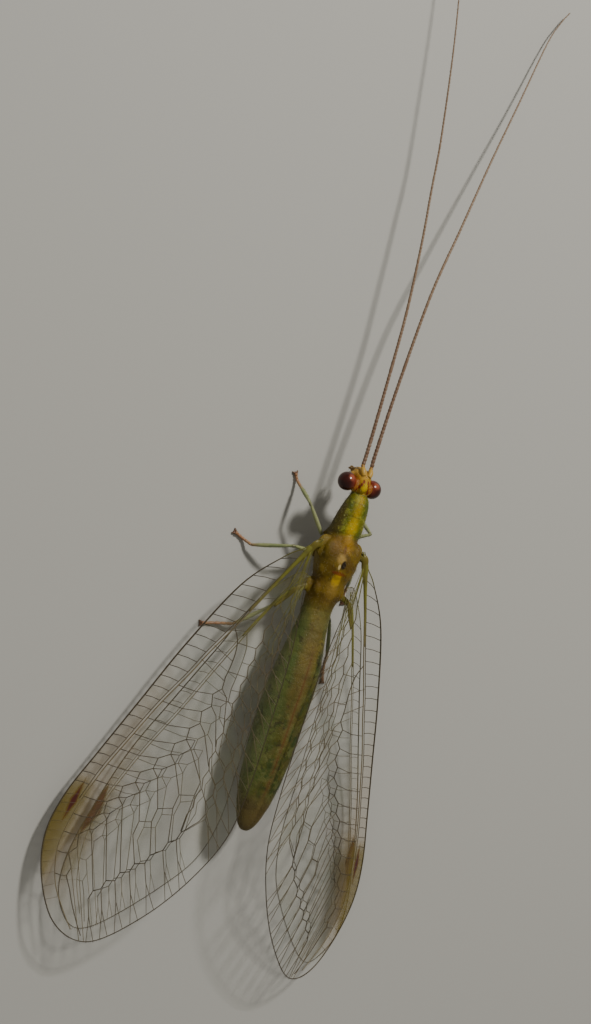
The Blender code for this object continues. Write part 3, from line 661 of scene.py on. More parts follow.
# %% Body finish
def body_finish():
    skin = Finish("lacewing_skin", (0.09, 0.10, 0.012), 0.40, Subsurface_Weight=0.10,
                  Subsurface_Scale=0.3 * MM, Subsurface_Radius=(0.9, 1.0, 0.35), Specular_IOR_Level=0.19)
    x, y, z = (skin.ruler.outputs[word] for word in "XYZ")
    sideways = maths(skin.tree, "ABSOLUTE", maths(skin.tree, "ADD", x, 0.06))
    collar = skin.band(y, -2.10, -0.26, 0.06)
    thorax = skin.band(y, -0.26, 4.60, 0.16)
    abdomen = skin.band(y, 3.00, 14.0, 0.60)
    head = skin.band(y, -6.0, -2.16, 0.05)
    middle = skin.band(sideways, -1.0, 0.16, 0.20)
    top = skin.band(z, 2.30, 9.0, 0.16)
    skin.lay((0.125, 0.120, 0.003), collar)
    skin.lay((0.050, 0.085, 0.004), skin.times(collar, skin.mottle(1.6, 0.40, 0.62)), 0.75)
    stripe = skin.times(skin.times(collar, middle), skin.times(top, skin.mottle(1.7, 0.26, 0.50)))
    skin.lay((0.36, 0.23, 0.002), stripe, 0.85)
    skin.lay((0.42, 0.28, 0.003), skin.spot((-0.06, -0.66, 2.7), (0.22, 0.34, 0.6), 0.6), 0.8)
    skin.lay((0.065, 0.040, 0.012), skin.times(collar, skin.band(x, 0.34, 3.0, 0.12)), 0.75)
    for place in (-1.74, -1.16, -0.40):
        skin.lay((0.055, 0.050, 0.004), skin.times(top, skin.band(y, place - 0.02, place + 0.02, 0.03)), 0.55)
    skin.lay((0.30, 0.30, 0.030), skin.times(skin.times(collar, skin.mottle(4.5, 0.52, 0.66)), top), 0.5)
    skin.lay((0.42, 0.44, 0.16), skin.times(skin.times(collar, skin.mottle(6.0, 0.62, 0.70)), top), 0.5)
    skin.lay((0.140, 0.088, 0.005), thorax)
    skin.lay((0.074, 0.038, 0.004), skin.times(thorax, skin.mottle(1.3, 0.44, 0.60)), 0.75)
    skin.lay((0.115, 0.074, 0.007), skin.spot((0.58, 0.42, 2.6), (0.42, 0.62, 0.7), 0.35), 0.85)
    skin.lay((0.150, 0.105, 0.009), skin.times(thorax, skin.band(sideways, 0.74, 3.0, 0.16)), 0.8)
    skin.lay((0.098, 0.054, 0.006), skin.spot((0.38, 0.22, 2.8), (0.26, 0.40, 0.6), 0.6), 0.9)
    skin.lay((0.29, 0.155, 0.005), skin.spot((-0.04, -0.02, 2.9), (0.30, 0.40, 0.5), 0.6), 0.85)
    skin.lay((0.16, 0.085, 0.004), skin.spot((0.30, 0.10, 2.7), (0.22, 0.34, 0.6), 0.6), 0.7)
    skin.lay((0.42, 0.26, 0.003), skin.spot((-0.05, 1.56, 2.8), (0.17, 0.34, 0.5), 0.4), 0.95)
    skin.lay((0.21, 0.130, 0.020), skin.spot((-0.05, 2.22, 2.7), (0.24, 0.46, 0.5), 0.6), 0.8)
    skin.lay((0.33, 0.21, 0.050), skin.spot((0.04, 0.66, 2.95), (0.18, 0.22, 0.6), 0.5), 0.9)
    skin.lay((0.075, 0.024, 0.003), skin.spot((0.00, 0.24, 2.95), (0.07, 0.20, 0.6), 0.6), 0.7)
    skin.lay((0.14, 0.030, 0.003), skin.spot((-0.04, 1.26, 2.95), (0.30, 0.08, 0.6), 0.35), 0.85)
    skin.lay((0.010, 0.005, 0.003), skin.spot((-0.11, 0.88, 2.95), (0.11, 0.18, 0.6), 0.3), 0.97)
    # A small pale spot beside the black one on the thorax: a painted glint.
    skin.lay((0.58, 0.46, 0.22), skin.spot((0.05, 1.00, 2.95), (0.05, 0.12, 0.6), 0.4), 0.7)
    skin.lay((0.074, 0.072, 0.011), abdomen)
    skin.lay((0.200, 0.160, 0.030), skin.times(abdomen, skin.band(y, 2.0, 5.0, 1.6)), 0.85)
    skin.lay((0.036, 0.056, 0.013), skin.times(abdomen, skin.mottle(1.1, 0.42, 0.58)), 0.85)
    skin.lay((0.095, 0.080, 0.020), skin.times(abdomen, skin.mottle(2.4, 0.50, 0.60)), 0.65)
    # The abdomen's left flank, the side away from the lamp, is painted lighter: painted light that lifts its shade.
    skin.lay((0.095, 0.125, 0.034), skin.times(abdomen, skin.band(x, 0.40, 3.0, 0.30)), 0.8)
    skin.lay((0.030, 0.026, 0.010), skin.times(abdomen, skin.mottle(3.4, 0.56, 0.66)), 0.75)
    skin.lay((0.125, 0.130, 0.036), skin.times(abdomen, skin.mottle(1.9, 0.52, 0.62)), 0.60)
    rust = skin.times(skin.band(y, 3.0, 7.2, 1.2), skin.band(sideways, -1.0, 0.40, 0.22))
    skin.lay((0.135, 0.090, 0.020), skin.times(rust, top), 0.6)
    edge = skin.times(skin.band(x, -0.34, -0.02, 0.06), skin.band(y, 4.6, 11.4, 0.9))
    skin.lay((0.130, 0.088, 0.026), skin.times(skin.times(edge, top), skin.mottle(2.6, 0.30, 0.56)), 0.6)
    line = skin.times(skin.band(x, -0.20, -0.13, 0.04), skin.band(y, 4.8, 11.0, 0.9))
    skin.lay((0.105, 0.044, 0.012), skin.times(skin.times(line, top), skin.mottle(2.0, 0.30, 0.50)), 0.8)
    skin.lay((0.120, 0.080, 0.026), skin.band(y, 11.2, 14.0, 0.55), 0.75)
    skin.lay((0.022, 0.014, 0.010), skin.spot((0.30, 11.5, 2.2), (0.30, 0.30, 0.7), 0.6), 0.3)
    skin.lay((0.36, 0.20, 0.008), head)
    skin.lay((0.42, 0.24, 0.045), skin.times(head, skin.band(y, -6.0, -2.86, 0.08)), 0.7)
    skin.lay((0.11, 0.055, 0.012), skin.times(head, skin.band(z, -1.0, 1.90, 0.15)), 0.7)
    skin.lay((0.50, 0.36, 0.003), skin.spot((-0.02, -2.40, 2.7), (0.15, 0.24, 0.5), 0.35), 0.85)
    for way in (1, -1):
        skin.lay((0.20, 0.045, 0.012), skin.spot((way * 0.40, -2.56, 2.50), (0.15, 0.36, 0.5), 0.4), 0.75)
        for step in range(4):
            place = (way * (0.10 + 0.055 * step) - 0.01, -2.66 + 0.13 * step, 2.62)
            skin.lay((0.15, 0.016, 0.004), skin.spot(place, (0.045, 0.085, 0.5), 0.35), 0.95)
    for step in range(2, 9):
        fold = skin.band(y, WAIST_Y + 0.98 * step - 0.14, WAIST_Y + 0.98 * step + 0.02, 0.13)
        skin.lay((0.036, 0.034, 0.010), skin.times(skin.times(fold, top), skin.mottle(2.2, 0.44, 0.64)), 0.28)
    skin.grain(0.9, distance=0.03)
    skin.roughen(0.26, 0.48, skin.mottle(4.5, 0.34, 0.62))
    return skin.done()


BODY_FINISH = body_finish()
put(body_mesh, "body_skin", [BODY_FINISH],
    ["head", "prothorax", "mesothorax", "metathorax", "abdomen"])

# %% [markdown]
# ## Hairs on the body
#
# A lacewing looks smooth, but a lens shows short pale hairs all over, longer on the head and thorax. They
# soften the outline against the light. Blender's hair particles wouldn't come along as a solid, so each
# hair is a three-sided spike that stands on a face of the skin and leans backwards.

# %% Body hairs
BODY_HAIRS = 2600
LONG_HAIR = 0.13
SHORT_HAIR = 0.07
HAIR_LEAN = np.array((0.0, 0.8, 0.0))


def body_hairs(chance):
    shape = Shape()
    for foot, way in chance.sample(skin_spots, BODY_HAIRS):
        length = mix(LONG_HAIR, SHORT_HAIR, ease((foot[1] - WAIST_Y + 1.0) / 2.0)) * chance.uniform(0.7, 1.1)
        hair(shape, foot - way * 0.01, foot + (way + HAIR_LEAN) * length, HAIR_RADIUS, 0.0, 0.0)
    return shape


def hair_finish():
    pale = Finish("pale_hair", (0.24, 0.20, 0.085), 0.45, Specular_IOR_Level=0.3)
    pale.lay((0.12, 0.095, 0.030), pale.mottle(2.0), 0.6)
    return pale.done()


put(mesh_of(body_hairs(random.Random(11)), "hairs"), "body_hairs", [hair_finish()],
    ["head", "prothorax", "mesothorax", "metathorax", "abdomen"])

# %% [markdown]
# ## The eyes
#
# Each compound eye is nearly a full ball of some thousands of tiny lenses in rows. The lenses are far
# finer than the picture shows, so they are a Voronoi bump on a smooth ball, and the deep maroon turns
# redder towards the rim, where one looks through the outer lenses at a slant. A coppery spot high and forward on each
# eye is a painted highlight.

# %% Eyes
EYE_CENTRES = {"left": (0.67, -2.49, 2.30), "right": (-0.64, -2.49, 2.14)}
EYE_RADIUS = 0.395
LENSES_PER_MM = 34.0
# Where the painted highlight sits on each eye, measured from its centre.
EYE_PAINTED_GLINT = (-0.01, -0.19, 0.34)


def eye_finish():
    eye = Finish("compound_eye", (0.028, 0.004, 0.002), 0.20, Specular_IOR_Level=0.30, Coat_Weight=0.12,
                 Coat_Roughness=0.10)
    sideways = maths(eye.tree, "ABSOLUTE", eye.ruler.outputs["X"])
    eye.lay((0.20, 0.026, 0.008), eye.band(sideways, 0.0, 0.56, 0.18), 0.9)
    eye.lay((0.070, 0.009, 0.004), eye.mottle(3.0, 0.40, 0.62), 0.45)
    for centre in EYE_CENTRES.values():
        glint_centre = [a + b for a, b in zip(centre, EYE_PAINTED_GLINT)]
        # A coppery spot high and forward on each eye: a painted highlight, not a colour of the lenses.
        eye.lay((0.34, 0.085, 0.040), eye.spot(glint_centre, (0.12, 0.15, 0.14), 0.6), 0.7)
    lenses = add_node(eye.tree, "TexVoronoi", [("Vector", eye.ruler.outputs["Place"])], [("Scale", LENSES_PER_MM)])
    bump = add_node(eye.tree, "Bump", [("Height", lenses.outputs["Distance"])],
                    [("Strength", 0.18), ("Distance", 0.01 * MM)], invert=True)
    eye.tree.links.new(bump.outputs["Normal"], eye.shader.inputs["Normal"])
    return eye.done()


EYE_FINISH = eye_finish()
for side, centre in EYE_CENTRES.items():
    ball = Shape()
    bm = bmesh.new()
    bmesh.ops.create_icosphere(bm, subdivisions=5, radius=EYE_RADIUS)
    bmesh.ops.scale(bm, vec=(1.0, 1.0, 1.02), verts=bm.verts)
    bmesh.ops.translate(bm, vec=centre, verts=bm.verts)
    ball.add([v.co[:] for v in bm.verts], [[v.index for v in face.verts] for face in bm.faces])
    bm.free()
    put(mesh_of(ball, "eye"), "eye_ball_" + side, [EYE_FINISH], ["eye_" + side])

# %% [markdown]
# ## The antennae
#
# An antenna is a thick first joint, a short second one, and a thread of some hundred and forty tiny
# cylinders, each a touch wider at its far end and ringed with short hairs. The path is a smooth curve,
# and the joints are made by letting the radius swell and pinch once per segment along it.

# %% Antennae
ANTENNA_SEGMENTS = 140
RINGS_PER_SEGMENT = 4
THREAD_RADIUS = 0.086
THREAD_MIDDLE_RADIUS = 0.060
THREAD_TIP_RADIUS = 0.024
LEFT_THREAD = ((0.205, -3.34, 2.32), (0.185, -4.00, 2.28), (0.225, -6.60, 2.16), (0.31, -9.86, 2.00), (0.56, -12.85, 1.85), (0.81, -15.21, 1.65),
               (1.05, -17.31, 1.52), (1.65, -20.62, 1.40), (2.17, -23.12, 1.25), (2.52, -24.55, 1.15))
RIGHT_THREAD = ((-0.215, -3.36, 2.32), (-0.20, -4.00, 2.30), (-0.27, -7.00, 2.20), (-0.50, -11.06, 2.05), (-1.07, -14.26, 1.70), (-1.74, -17.48, 1.15),
                (-2.42, -20.61, 0.70), (-3.04, -23.76, 0.36), (-3.41, -24.89, 0.29), (-3.68, -25.48, 0.30))


def antenna(thread, way, chance):
    shape = Shape()
    base = np.array((way * SOCKET[0], SOCKET[1], SOCKET[2] + 0.02))
    neck = np.array((way * NECK_OF_THREAD[0], *NECK_OF_THREAD[1:]))
    first = smooth_path([base, mix(base, neck, 0.40) + (way * 0.02, 0, 0.02), mix(base, neck, 0.76)], 6)
    bar(shape, first, 0.092 + 0.026 * np.sin(np.linspace(0.2, np.pi, len(first))), 16, along=0.0, extra=0.0)
    second = np.linspace(mix(base, neck, 0.74), mix(base, neck, 1.05), 8)
    bar(shape, second, 0.082 * (1.0 - 0.12 * np.abs(np.linspace(-1, 1, 8)) ** 3), 14, along=0.0, extra=0.35)
    fine = smooth_path(thread, 40)
    lengths = np.concatenate([[0.0], np.cumsum(np.linalg.norm(np.diff(fine, axis=0), axis=1))])
    rings = ANTENNA_SEGMENTS * RINGS_PER_SEGMENT
    share = np.linspace(0.0, 1.0, rings + 1)
    path = np.column_stack([np.interp(share * lengths[-1], lengths, fine[:, k]) for k in range(3)])
    place = share * ANTENNA_SEGMENTS % 1.0
    pinch = 1.0 - 0.20 * (place < 0.5 / RINGS_PER_SEGMENT) + 0.06 * place
    radii = np.interp(share, (0.0, 0.10, 0.35, 1.0),
                      (THREAD_RADIUS, 0.88 * THREAD_RADIUS, THREAD_MIDDLE_RADIUS, THREAD_TIP_RADIUS)) * pinch
    bar(shape, path, radii, 8, along=share, extra=1.0)
    bristles(shape, path, radii, share, chance, 0.022, 0.045, 1.0)
    return shape


def antenna_finish():
    horn = Finish("antenna_brown", (0.20, 0.125, 0.072), 0.45, Specular_IOR_Level=0.35)
    along, extra = horn.attribute("along"), horn.attribute("extra")
    horn.lay((0.135, 0.070, 0.040), horn.band(along, -1.0, 0.22, 0.20), 0.85)
    horn.lay((0.27, 0.19, 0.12), horn.mottle(7.0, 0.46, 0.60), 0.35)
    horn.lay((0.42, 0.25, 0.035), horn.band(extra, -1.0, 0.6, 0.1), 0.95)
    horn.lay((0.17, 0.055, 0.012), horn.band(extra, 0.2, 0.6, 0.1), 0.6)
    horn.grain(0.5, 14.0, 60.0, 0.01)
    return horn.done()


ANTENNA_FINISH = antenna_finish()
chance = random.Random(5)
for side, thread, way in (("left", LEFT_THREAD, 1), ("right", RIGHT_THREAD, -1)):
    put(mesh_of(antenna(thread, way, chance), "antenna"), "antenna_" + side, [ANTENNA_FINISH],
        ["scape_" + side, "flagellum_" + side])

# %% [markdown]
# ## The legs
#
# Each leg is one piece: a thigh, a shin a little thinner, five short foot joints and a broad dark tip
# with two claws and a pad. The knees and ankles are where they are seen in the photograph, and the feet
# stand on the floor. Short hairs in rows keep the outline from looking like wire.

# %% Legs
# For each leg: hip, knee, ankle and toe.
LEGS = {
    "foreleg_left": ((0.60, -0.06, 1.46), (1.50, -1.12, 1.42), (1.72, -1.72, 0.40), (1.955, -2.17, 0.055)),
    "foreleg_right": ((-0.58, -0.20, 1.50), (-1.36, -0.70, 1.95), (-1.40, -1.24, 0.44), (-1.40, -1.86, 0.055)),
    "midleg_left": ((0.50, 0.76, 1.00), (1.62, 0.74, 1.42), (3.02, 1.26, 0.34), (3.76, 0.965, 0.055)),
    "midleg_right": ((-0.50, 0.76, 1.00), (-1.38, 0.80, 1.30), (-1.90, 1.80, 0.40), (-2.12, 2.47, 0.055)),
    "hindleg_left": ((0.46, 2.10, 0.98), (1.40, 3.36, 0.80), (2.72, 4.66, 0.34), (3.94, 5.00, 0.055)),
    "hindleg_right": ((-0.46, 2.10, 0.98), (-1.26, 3.30, 1.02), (-2.00, 4.86, 0.40), (-2.36, 6.02, 0.055)),
}
THIGH_RADIUS = 0.090
SHIN_RADIUS = 0.079
FOOT_RADIUS = 0.063
FOOT_JOINTS = 5
CLAW_SPREAD = 0.115


def leg(joints, chance):
    """Along the leg, the first number runs from 0 at the hip to 3 at the toe."""
    hip, knee, ankle, toe = (np.array(p) for p in joints)
    shape = Shape()
    share = np.linspace(0.0, 1.0, 25)
    path = mix(hip, knee, share[:, None])
    radii = THIGH_RADIUS * (0.72 + 0.34 * np.sin(np.pi * share ** 0.8) - 0.14 * share)
    bar(shape, path, radii, 12, along=share)
    bristles(shape, path, radii, share, chance, 0.020, 0.065)
    dome_path = np.linspace(knee - (knee - hip) * 0.05, knee + (ankle - knee) * 0.07, 7)
    bar(shape, dome_path, [0.048, 0.062, 0.070, 0.072, 0.070, 0.064, 0.050], 12, along=1.0)
    bow = np.array((0.0, 0.0, 0.05))
    path = mix(knee, ankle, share[:, None]) + np.outer(np.sin(np.pi * share), bow)
    radii = SHIN_RADIUS * (0.72 + 0.38 * np.sin(np.pi * share ** 1.4))
    bar(shape, path, radii, 12, along=1.0 + share)
    bristles(shape, path, radii, 1.0 + share, chance, 0.014, 0.070)
    count = FOOT_JOINTS * 6 + 1
    share = np.linspace(0.0, 1.0, count)
    sweep = smooth_path([ankle, mix(ankle, toe, 0.45) - (0, 0, 0.10), toe], 20)
    where = np.linspace(0, len(sweep) - 1, count)
    path = np.column_stack([np.interp(where, np.arange(len(sweep)), sweep[:, k]) for k in range(3)])
    beads = 0.78 + 0.34 * np.sqrt(share * FOOT_JOINTS % 1.0) + 0.18 * ease((share - 0.8) * 5)
    path[:, 2] = np.maximum(path[:, 2], FOOT_RADIUS * beads * 1.02)
    bar(shape, path, FOOT_RADIUS * beads, 10, along=2.0 + 0.9 * share)
    bristles(shape, path, FOOT_RADIUS * beads, 2.0 + 0.9 * share, chance, 0.012, 0.050)
    way = toe - ankle
    way[2] = 0.0
    way /= np.linalg.norm(way)
    out = np.array((-way[1], way[0], 0.0))
    ground = np.array((1.0, 1.0, 0.0))
    for turn in (1, -1):
        claw = [toe - way * 0.02, toe * ground + way * 0.07 + out * turn * CLAW_SPREAD * 0.7 + (0, 0, 0.07),
                toe * ground + way * 0.10 + out * turn * CLAW_SPREAD + (0, 0, 0.030),
                toe * ground + way * 0.13 + out * turn * CLAW_SPREAD * 0.95 + (0, 0, 0.014)]
        path = smooth_path(claw, 4)
        bar(shape, path, np.linspace(0.046, 0.010, len(path)), 8, along=3.0)
    pad = np.linspace(toe * ground - way * 0.03 + (0, 0, 0.050), toe * ground + way * 0.10 + (0, 0, 0.042), 6)
    bar(shape, pad, [0.05, 0.09, 0.11, 0.12, 0.12, 0.09], 12, along=3.0, flat=0.30)
    return shape


def leg_finish():
    cuticle = Finish("leg_green", (0.25, 0.265, 0.120), 0.40, Subsurface_Weight=0.15, Subsurface_Scale=0.2 * MM,
                     Subsurface_Radius=(0.9, 1.0, 0.5), Specular_IOR_Level=0.4)
    along = cuticle.attribute("along")
    cuticle.lay((0.170, 0.210, 0.085), cuticle.times(cuticle.band(along, 1.05, 1.85, 0.2), cuticle.mottle(4.0)), 0.7)
    cuticle.lay((0.30, 0.165, 0.082), cuticle.band(along, 1.90, 4.0, 0.14), 0.9)
    cuticle.lay((0.27, 0.120, 0.055), cuticle.band(along, 2.30, 4.0, 0.25), 0.7)
    cuticle.lay((0.105, 0.052, 0.028), cuticle.band(along, 2.93, 4.0, 0.04), 0.9)
    cuticle.lay((0.11, 0.10, 0.040), cuticle.band(along, 0.95, 1.06, 0.03), 0.6)
    cuticle.grain(0.4, 14.0, 60.0, 0.01)
    return cuticle.done()


LEG_FINISH = leg_finish()
chance = random.Random(3)
for name, joints in LEGS.items():
    put(mesh_of(leg(joints, chance), name), name, [LEG_FINISH],
        [name + "_femur", name + "_tibia", name + "_tarsus"])

# %% [markdown]
# ## Where the wings lie
#
# A wing is easiest to draw flat: `s` runs from its root to its tip and `t` from its front edge, which is
# negative, to its hind edge. Each wing is then laid on its slope. The four wings slope down to the
# sides like a roof, and the left and right pair are not quite alike, because the animal holds them so.
# The plain wings are half a millimetre thick; the clear sheets lie inside them, nearer to each other.

# %% Wing slopes
FORE_ROOT = (1.22, -0.10)
HIND_ROOT = (1.06, 2.02)
ROOT_HEIGHT = 2.42
FORE_LENGTH = 19.5
DROOP_START = 14.0
HIND_SPREAD = math.radians(13.4)
STACK = 0.85
LOWEST = 0.26
HIND_SLIDE = -0.05
HIND_LIFT = 0.38
WING_POSE = {
    "left": dict(spread=math.radians(11.9), roof=(31.9, 12.7), fall=0.040, droop=-0.20),
    "right": dict(spread=math.radians(9.4), roof=(19.0, 24.3), fall=0.026, droop=0.05),
}


def roof_slope(s, pose):
    return np.radians(mix(pose["roof"][0], pose["roof"][1], s / FORE_LENGTH))


def fore_height(s, t, pose):
    past = np.maximum(0.0, (s - DROOP_START) / (FORE_LENGTH - DROOP_START))
    return ROOT_HEIGHT - pose["fall"] * s - pose["droop"] * past ** 2 + t * np.sin(roof_slope(s, pose))


def laid(x, y, z, side, slide=0.0, lift=0.0):
    """Turns a left wing into the right one if need be, and slides and lifts it a little."""
    x = x if side == "left" else -x
    return np.column_stack([x + slide, y, z + lift])


def fore_place(flat, side):
    s, t = flat[:, 0], flat[:, 1]
    pose = WING_POSE[side]
    level = t * np.cos(roof_slope(s, pose))
    x = FORE_ROOT[0] + s * math.sin(pose["spread"]) - level * math.cos(pose["spread"])
    y = FORE_ROOT[1] + s * math.cos(pose["spread"]) + level * math.sin(pose["spread"])
    return laid(x, y, fore_height(s, t, pose), side)


def hind_place(flat, side):
    s, t = flat[:, 0], flat[:, 1]
    pose = WING_POSE[side]
    x = HIND_ROOT[0] + s * math.sin(HIND_SPREAD) - t * math.cos(HIND_SPREAD)
    y = HIND_ROOT[1] + s * math.cos(HIND_SPREAD) + t * math.sin(HIND_SPREAD)
    dx, dy = x - FORE_ROOT[0], y - FORE_ROOT[1]
    along = dx * math.sin(pose["spread"]) + dy * math.cos(pose["spread"])
    level = dy * math.sin(pose["spread"]) - dx * math.cos(pose["spread"])
    z = fore_height(along, level / np.cos(roof_slope(along, pose)), pose) - STACK
    soft_floor = LOWEST + 0.5 * ((z - LOWEST) + np.sqrt((z - LOWEST) ** 2 + 0.01))
    return laid(x, y, soft_floor, side, HIND_SLIDE, HIND_LIFT)


PLACES = {"fore": fore_place, "hind": hind_place}

# %% [markdown]
# ## The net of veins
#
# The veins are what one recognises a lacewing by. A few long ones fan out from the root; between them
# run dozens of cross veins like ladder rungs, and near the hind edge every branch forks. The long veins
# are short lists of points. Everything else follows from them: rungs at even steps along two lines, the
# zigzag sector that bends at every branch, and branches that run until they meet the margin.

# %% Outlines and long veins
FORE = dict(
    outline=((0.42, 0.20), (0.48, 0.02), (0.90, -0.24), (1.55, -0.76), (3.40, -1.72), (6.60, -2.46), (9.40, -2.92),
             (12.0, -3.35), (14.1, -3.68), (15.8, -3.60), (17.3, -2.94), (18.6, -1.80), (19.0, -0.60),
             (18.5, 0.45), (16.7, 1.70), (14.7, 2.52), (12.6, 2.92), (10.4, 2.68), (7.60, 2.10),
             (4.60, 1.38), (2.20, 0.58), (0.80, 0.16)),
    radius=((0.15, 0.25), (0.50, 0.08), (1.00, -0.07), (1.50, -0.22), (2.20, -0.40), (2.90, -0.58), (3.70, -0.78),
            (4.80, -1.06), (5.70, -1.31), (6.50, -1.53), (7.60, -1.78), (9.15, -2.20), (11.0, -2.58), (12.3, -2.84),
            (13.2, -2.96), (14.4, -3.06), (15.6, -3.02), (16.4, -2.84), (17.4, -2.30), (18.2, -1.50), (18.7, -0.90)),
    sector=((5.02, -1.08), (5.56, -0.66), (6.40, -0.44), (7.70, -0.38), (9.30, -0.48), (10.15, -0.68),
            (10.95, -0.94), (12.6, -1.62), (13.45, -1.90), (14.3, -2.10), (15.1, -2.27), (15.9, -2.30),
            (16.6, -2.10), (17.5, -1.52), (18.3, -0.82), (18.75, -0.36)),
    media=((0.60, -0.02), (2.60, 0.04), (5.00, 0.14), (7.40, 0.42), (9.75, 0.68), (11.0, 0.92), (12.4, 1.06), (13.3, 1.14)),
    cubitus=((0.60, 0.02), (2.00, 0.24), (4.00, 0.66), (6.00, 1.04), (8.00, 1.34), (10.0, 1.50), (11.8, 1.49),
             (12.35, 1.66), (13.25, 1.56), (13.35, 1.17)),
    inner=((11.19, 0.85), (12.05, 0.35), (12.93, -0.13), (13.72, -0.53)),
    outer=((13.31, 1.18), (13.93, 0.92), (14.72, 0.54), (15.30, 0.16), (15.87, -0.18), (16.40, -0.52), (16.98, -0.78)),
    costal=(1.35, 13.6), branch_first=9.13, branch_step=0.825, zigzag=0.11, rear_first=3.0, rear_last=12.9,
    split=0.055, anal=(((0.7, 0.06), (2.2, 0.34), (3.6, 0.80), (4.9, 1.36)), ((0.6, 0.08), (1.6, 0.26), (2.8, 0.66))),
)
HIND = dict(
    outline=((-0.30, 0.06), (-0.15, -0.42), (1.60, -1.10), (4.20, -1.50), (6.80, -1.92), (9.40, -2.34),
             (12.0, -2.48), (14.2, -2.42), (15.7, -2.00), (16.6, -1.10), (16.5, -0.35), (15.4, 0.50),
             (13.6, 1.45), (12.0, 2.02), (10.2, 2.02), (8.00, 1.52), (5.20, 0.90), (2.60, 0.36), (0.30, 0.06)),
    radius=((-0.10, -0.22), (1.20, -0.54), (2.60, -0.80), (3.90, -1.02), (4.90, -1.18), (7.00, -1.50), (9.20, -1.92),
            (11.2, -2.18), (12.4, -2.24), (13.6, -2.12), (15.0, -1.62), (16.1, -0.86)),
    sector=((3.00, -0.84), (3.80, -0.50), (5.60, -0.22), (6.80, -0.14), (7.50, -0.22), (8.40, -0.42), (9.25, -0.68),
            (10.1, -0.97), (11.0, -1.24), (11.9, -1.48), (12.9, -1.66), (13.9, -1.62), (14.9, -1.30), (16.3, -0.50)),
    media=((0.30, -0.10), (2.80, 0.04), (5.00, 0.24), (7.00, 0.50), (8.60, 0.78), (10.2, 1.00), (11.2, 1.06)),
    cubitus=((0.30, -0.02), (2.60, 0.20), (4.40, 0.44), (6.40, 0.86), (8.40, 1.26), (9.80, 1.46), (10.8, 1.40), (11.2, 1.10)),
    inner=((9.40, 0.72), (10.3, 0.34), (11.1, -0.02), (11.9, -0.36)),
    outer=((11.2, 1.08), (11.9, 0.86), (12.55, 0.54), (13.15, 0.22), (13.72, -0.08), (14.25, -0.34), (14.8, -0.52)),
    costal=(1.2, 11.6), branch_first=7.38, branch_step=0.80, zigzag=0.08, rear_first=2.8, rear_last=10.8,
    split=0.045, anal=(((0.2, 0.02), (1.6, 0.16), (3.2, 0.46)),),
)
THICK = dict(costa=0.040, radius=0.034, subcosta=0.022, sector=0.024, branch=0.018, rung=0.015, step=0.021,
             fork=0.013, rear=0.019)
BRANCHES = 7
EARLY = 2
LATE = 2
# How far the two feet of a branch reach from its root on the sector, and how the steps lie on it.
LEFT_FOOT = np.array((-0.14, 0.33))
RIGHT_FOOT = np.array((0.25, 0.35))
INNER_STEP = np.array((0.58, 0.05))
OUTER_STEP = np.array((0.37, -0.02))
BRANCH_ANGLE = 31.0


def height_on(line, s):
    return np.interp(s, line[:, 0], line[:, 1])


def on(line, s, shift=0.0):
    return np.array((s, height_on(line, s) + shift))


def inside(points, polygon):
    """Which flat points are inside a closed outline."""
    found = np.zeros(len(points), bool)
    for a, b in zip(polygon, np.roll(polygon, -1, axis=0)):
        if a[1] != b[1]:
            crosses = (a[1] > points[:, 1]) != (b[1] > points[:, 1])
            reach = a[0] + (b[0] - a[0]) * (points[:, 1] - a[1]) / (b[1] - a[1])
            found ^= crosses & (points[:, 0] < reach)
    return found


def to_margin(start, angle, polygon, bend=0.0):
    """A slightly bent line from a point until it meets the outline."""
    steps = np.arange(0.0, 12.0, 0.05)
    turn = np.radians(angle + bend * np.minimum(steps, 4.0))
    moves = np.column_stack([np.cos(turn), np.sin(turn)]) * 0.05
    line = start + np.vstack([[0.0, 0.0], np.cumsum(moves[:-1], axis=0)])
    outside = np.flatnonzero(~inside(line, polygon))
    last = outside[0] if len(outside) else len(line) - 1
    return line[:max(last, 1) + 1]


# %% [markdown]
# ## Growing the net
#
# One function grows the net for both kinds of wing. It returns every vein as a flat line with a
# thickness at its two ends and a darkness: rungs and gradate steps are darkest on the real wing.

# %% The vein net
def forked(veins, line, thick, dark, share=0.55, gap=13.0, polygon=None):
    """A vein that splits in two before it reaches the margin."""
    cut = max(1, int(len(line) * share))
    veins.append((line[:cut + 1], thick, thick * 0.85, dark))
    way = line[-1] - line[cut]
    if len(line) - cut < 4:
        veins.append((line[cut:], thick * 0.85, THICK["fork"], dark))
        return
    angle = math.degrees(math.atan2(way[1], way[0]))
    for turn in (gap, -gap):
        veins.append((to_margin(line[cut], angle + turn, polygon), THICK["fork"] * 1.1, THICK["fork"] * 0.9, dark))


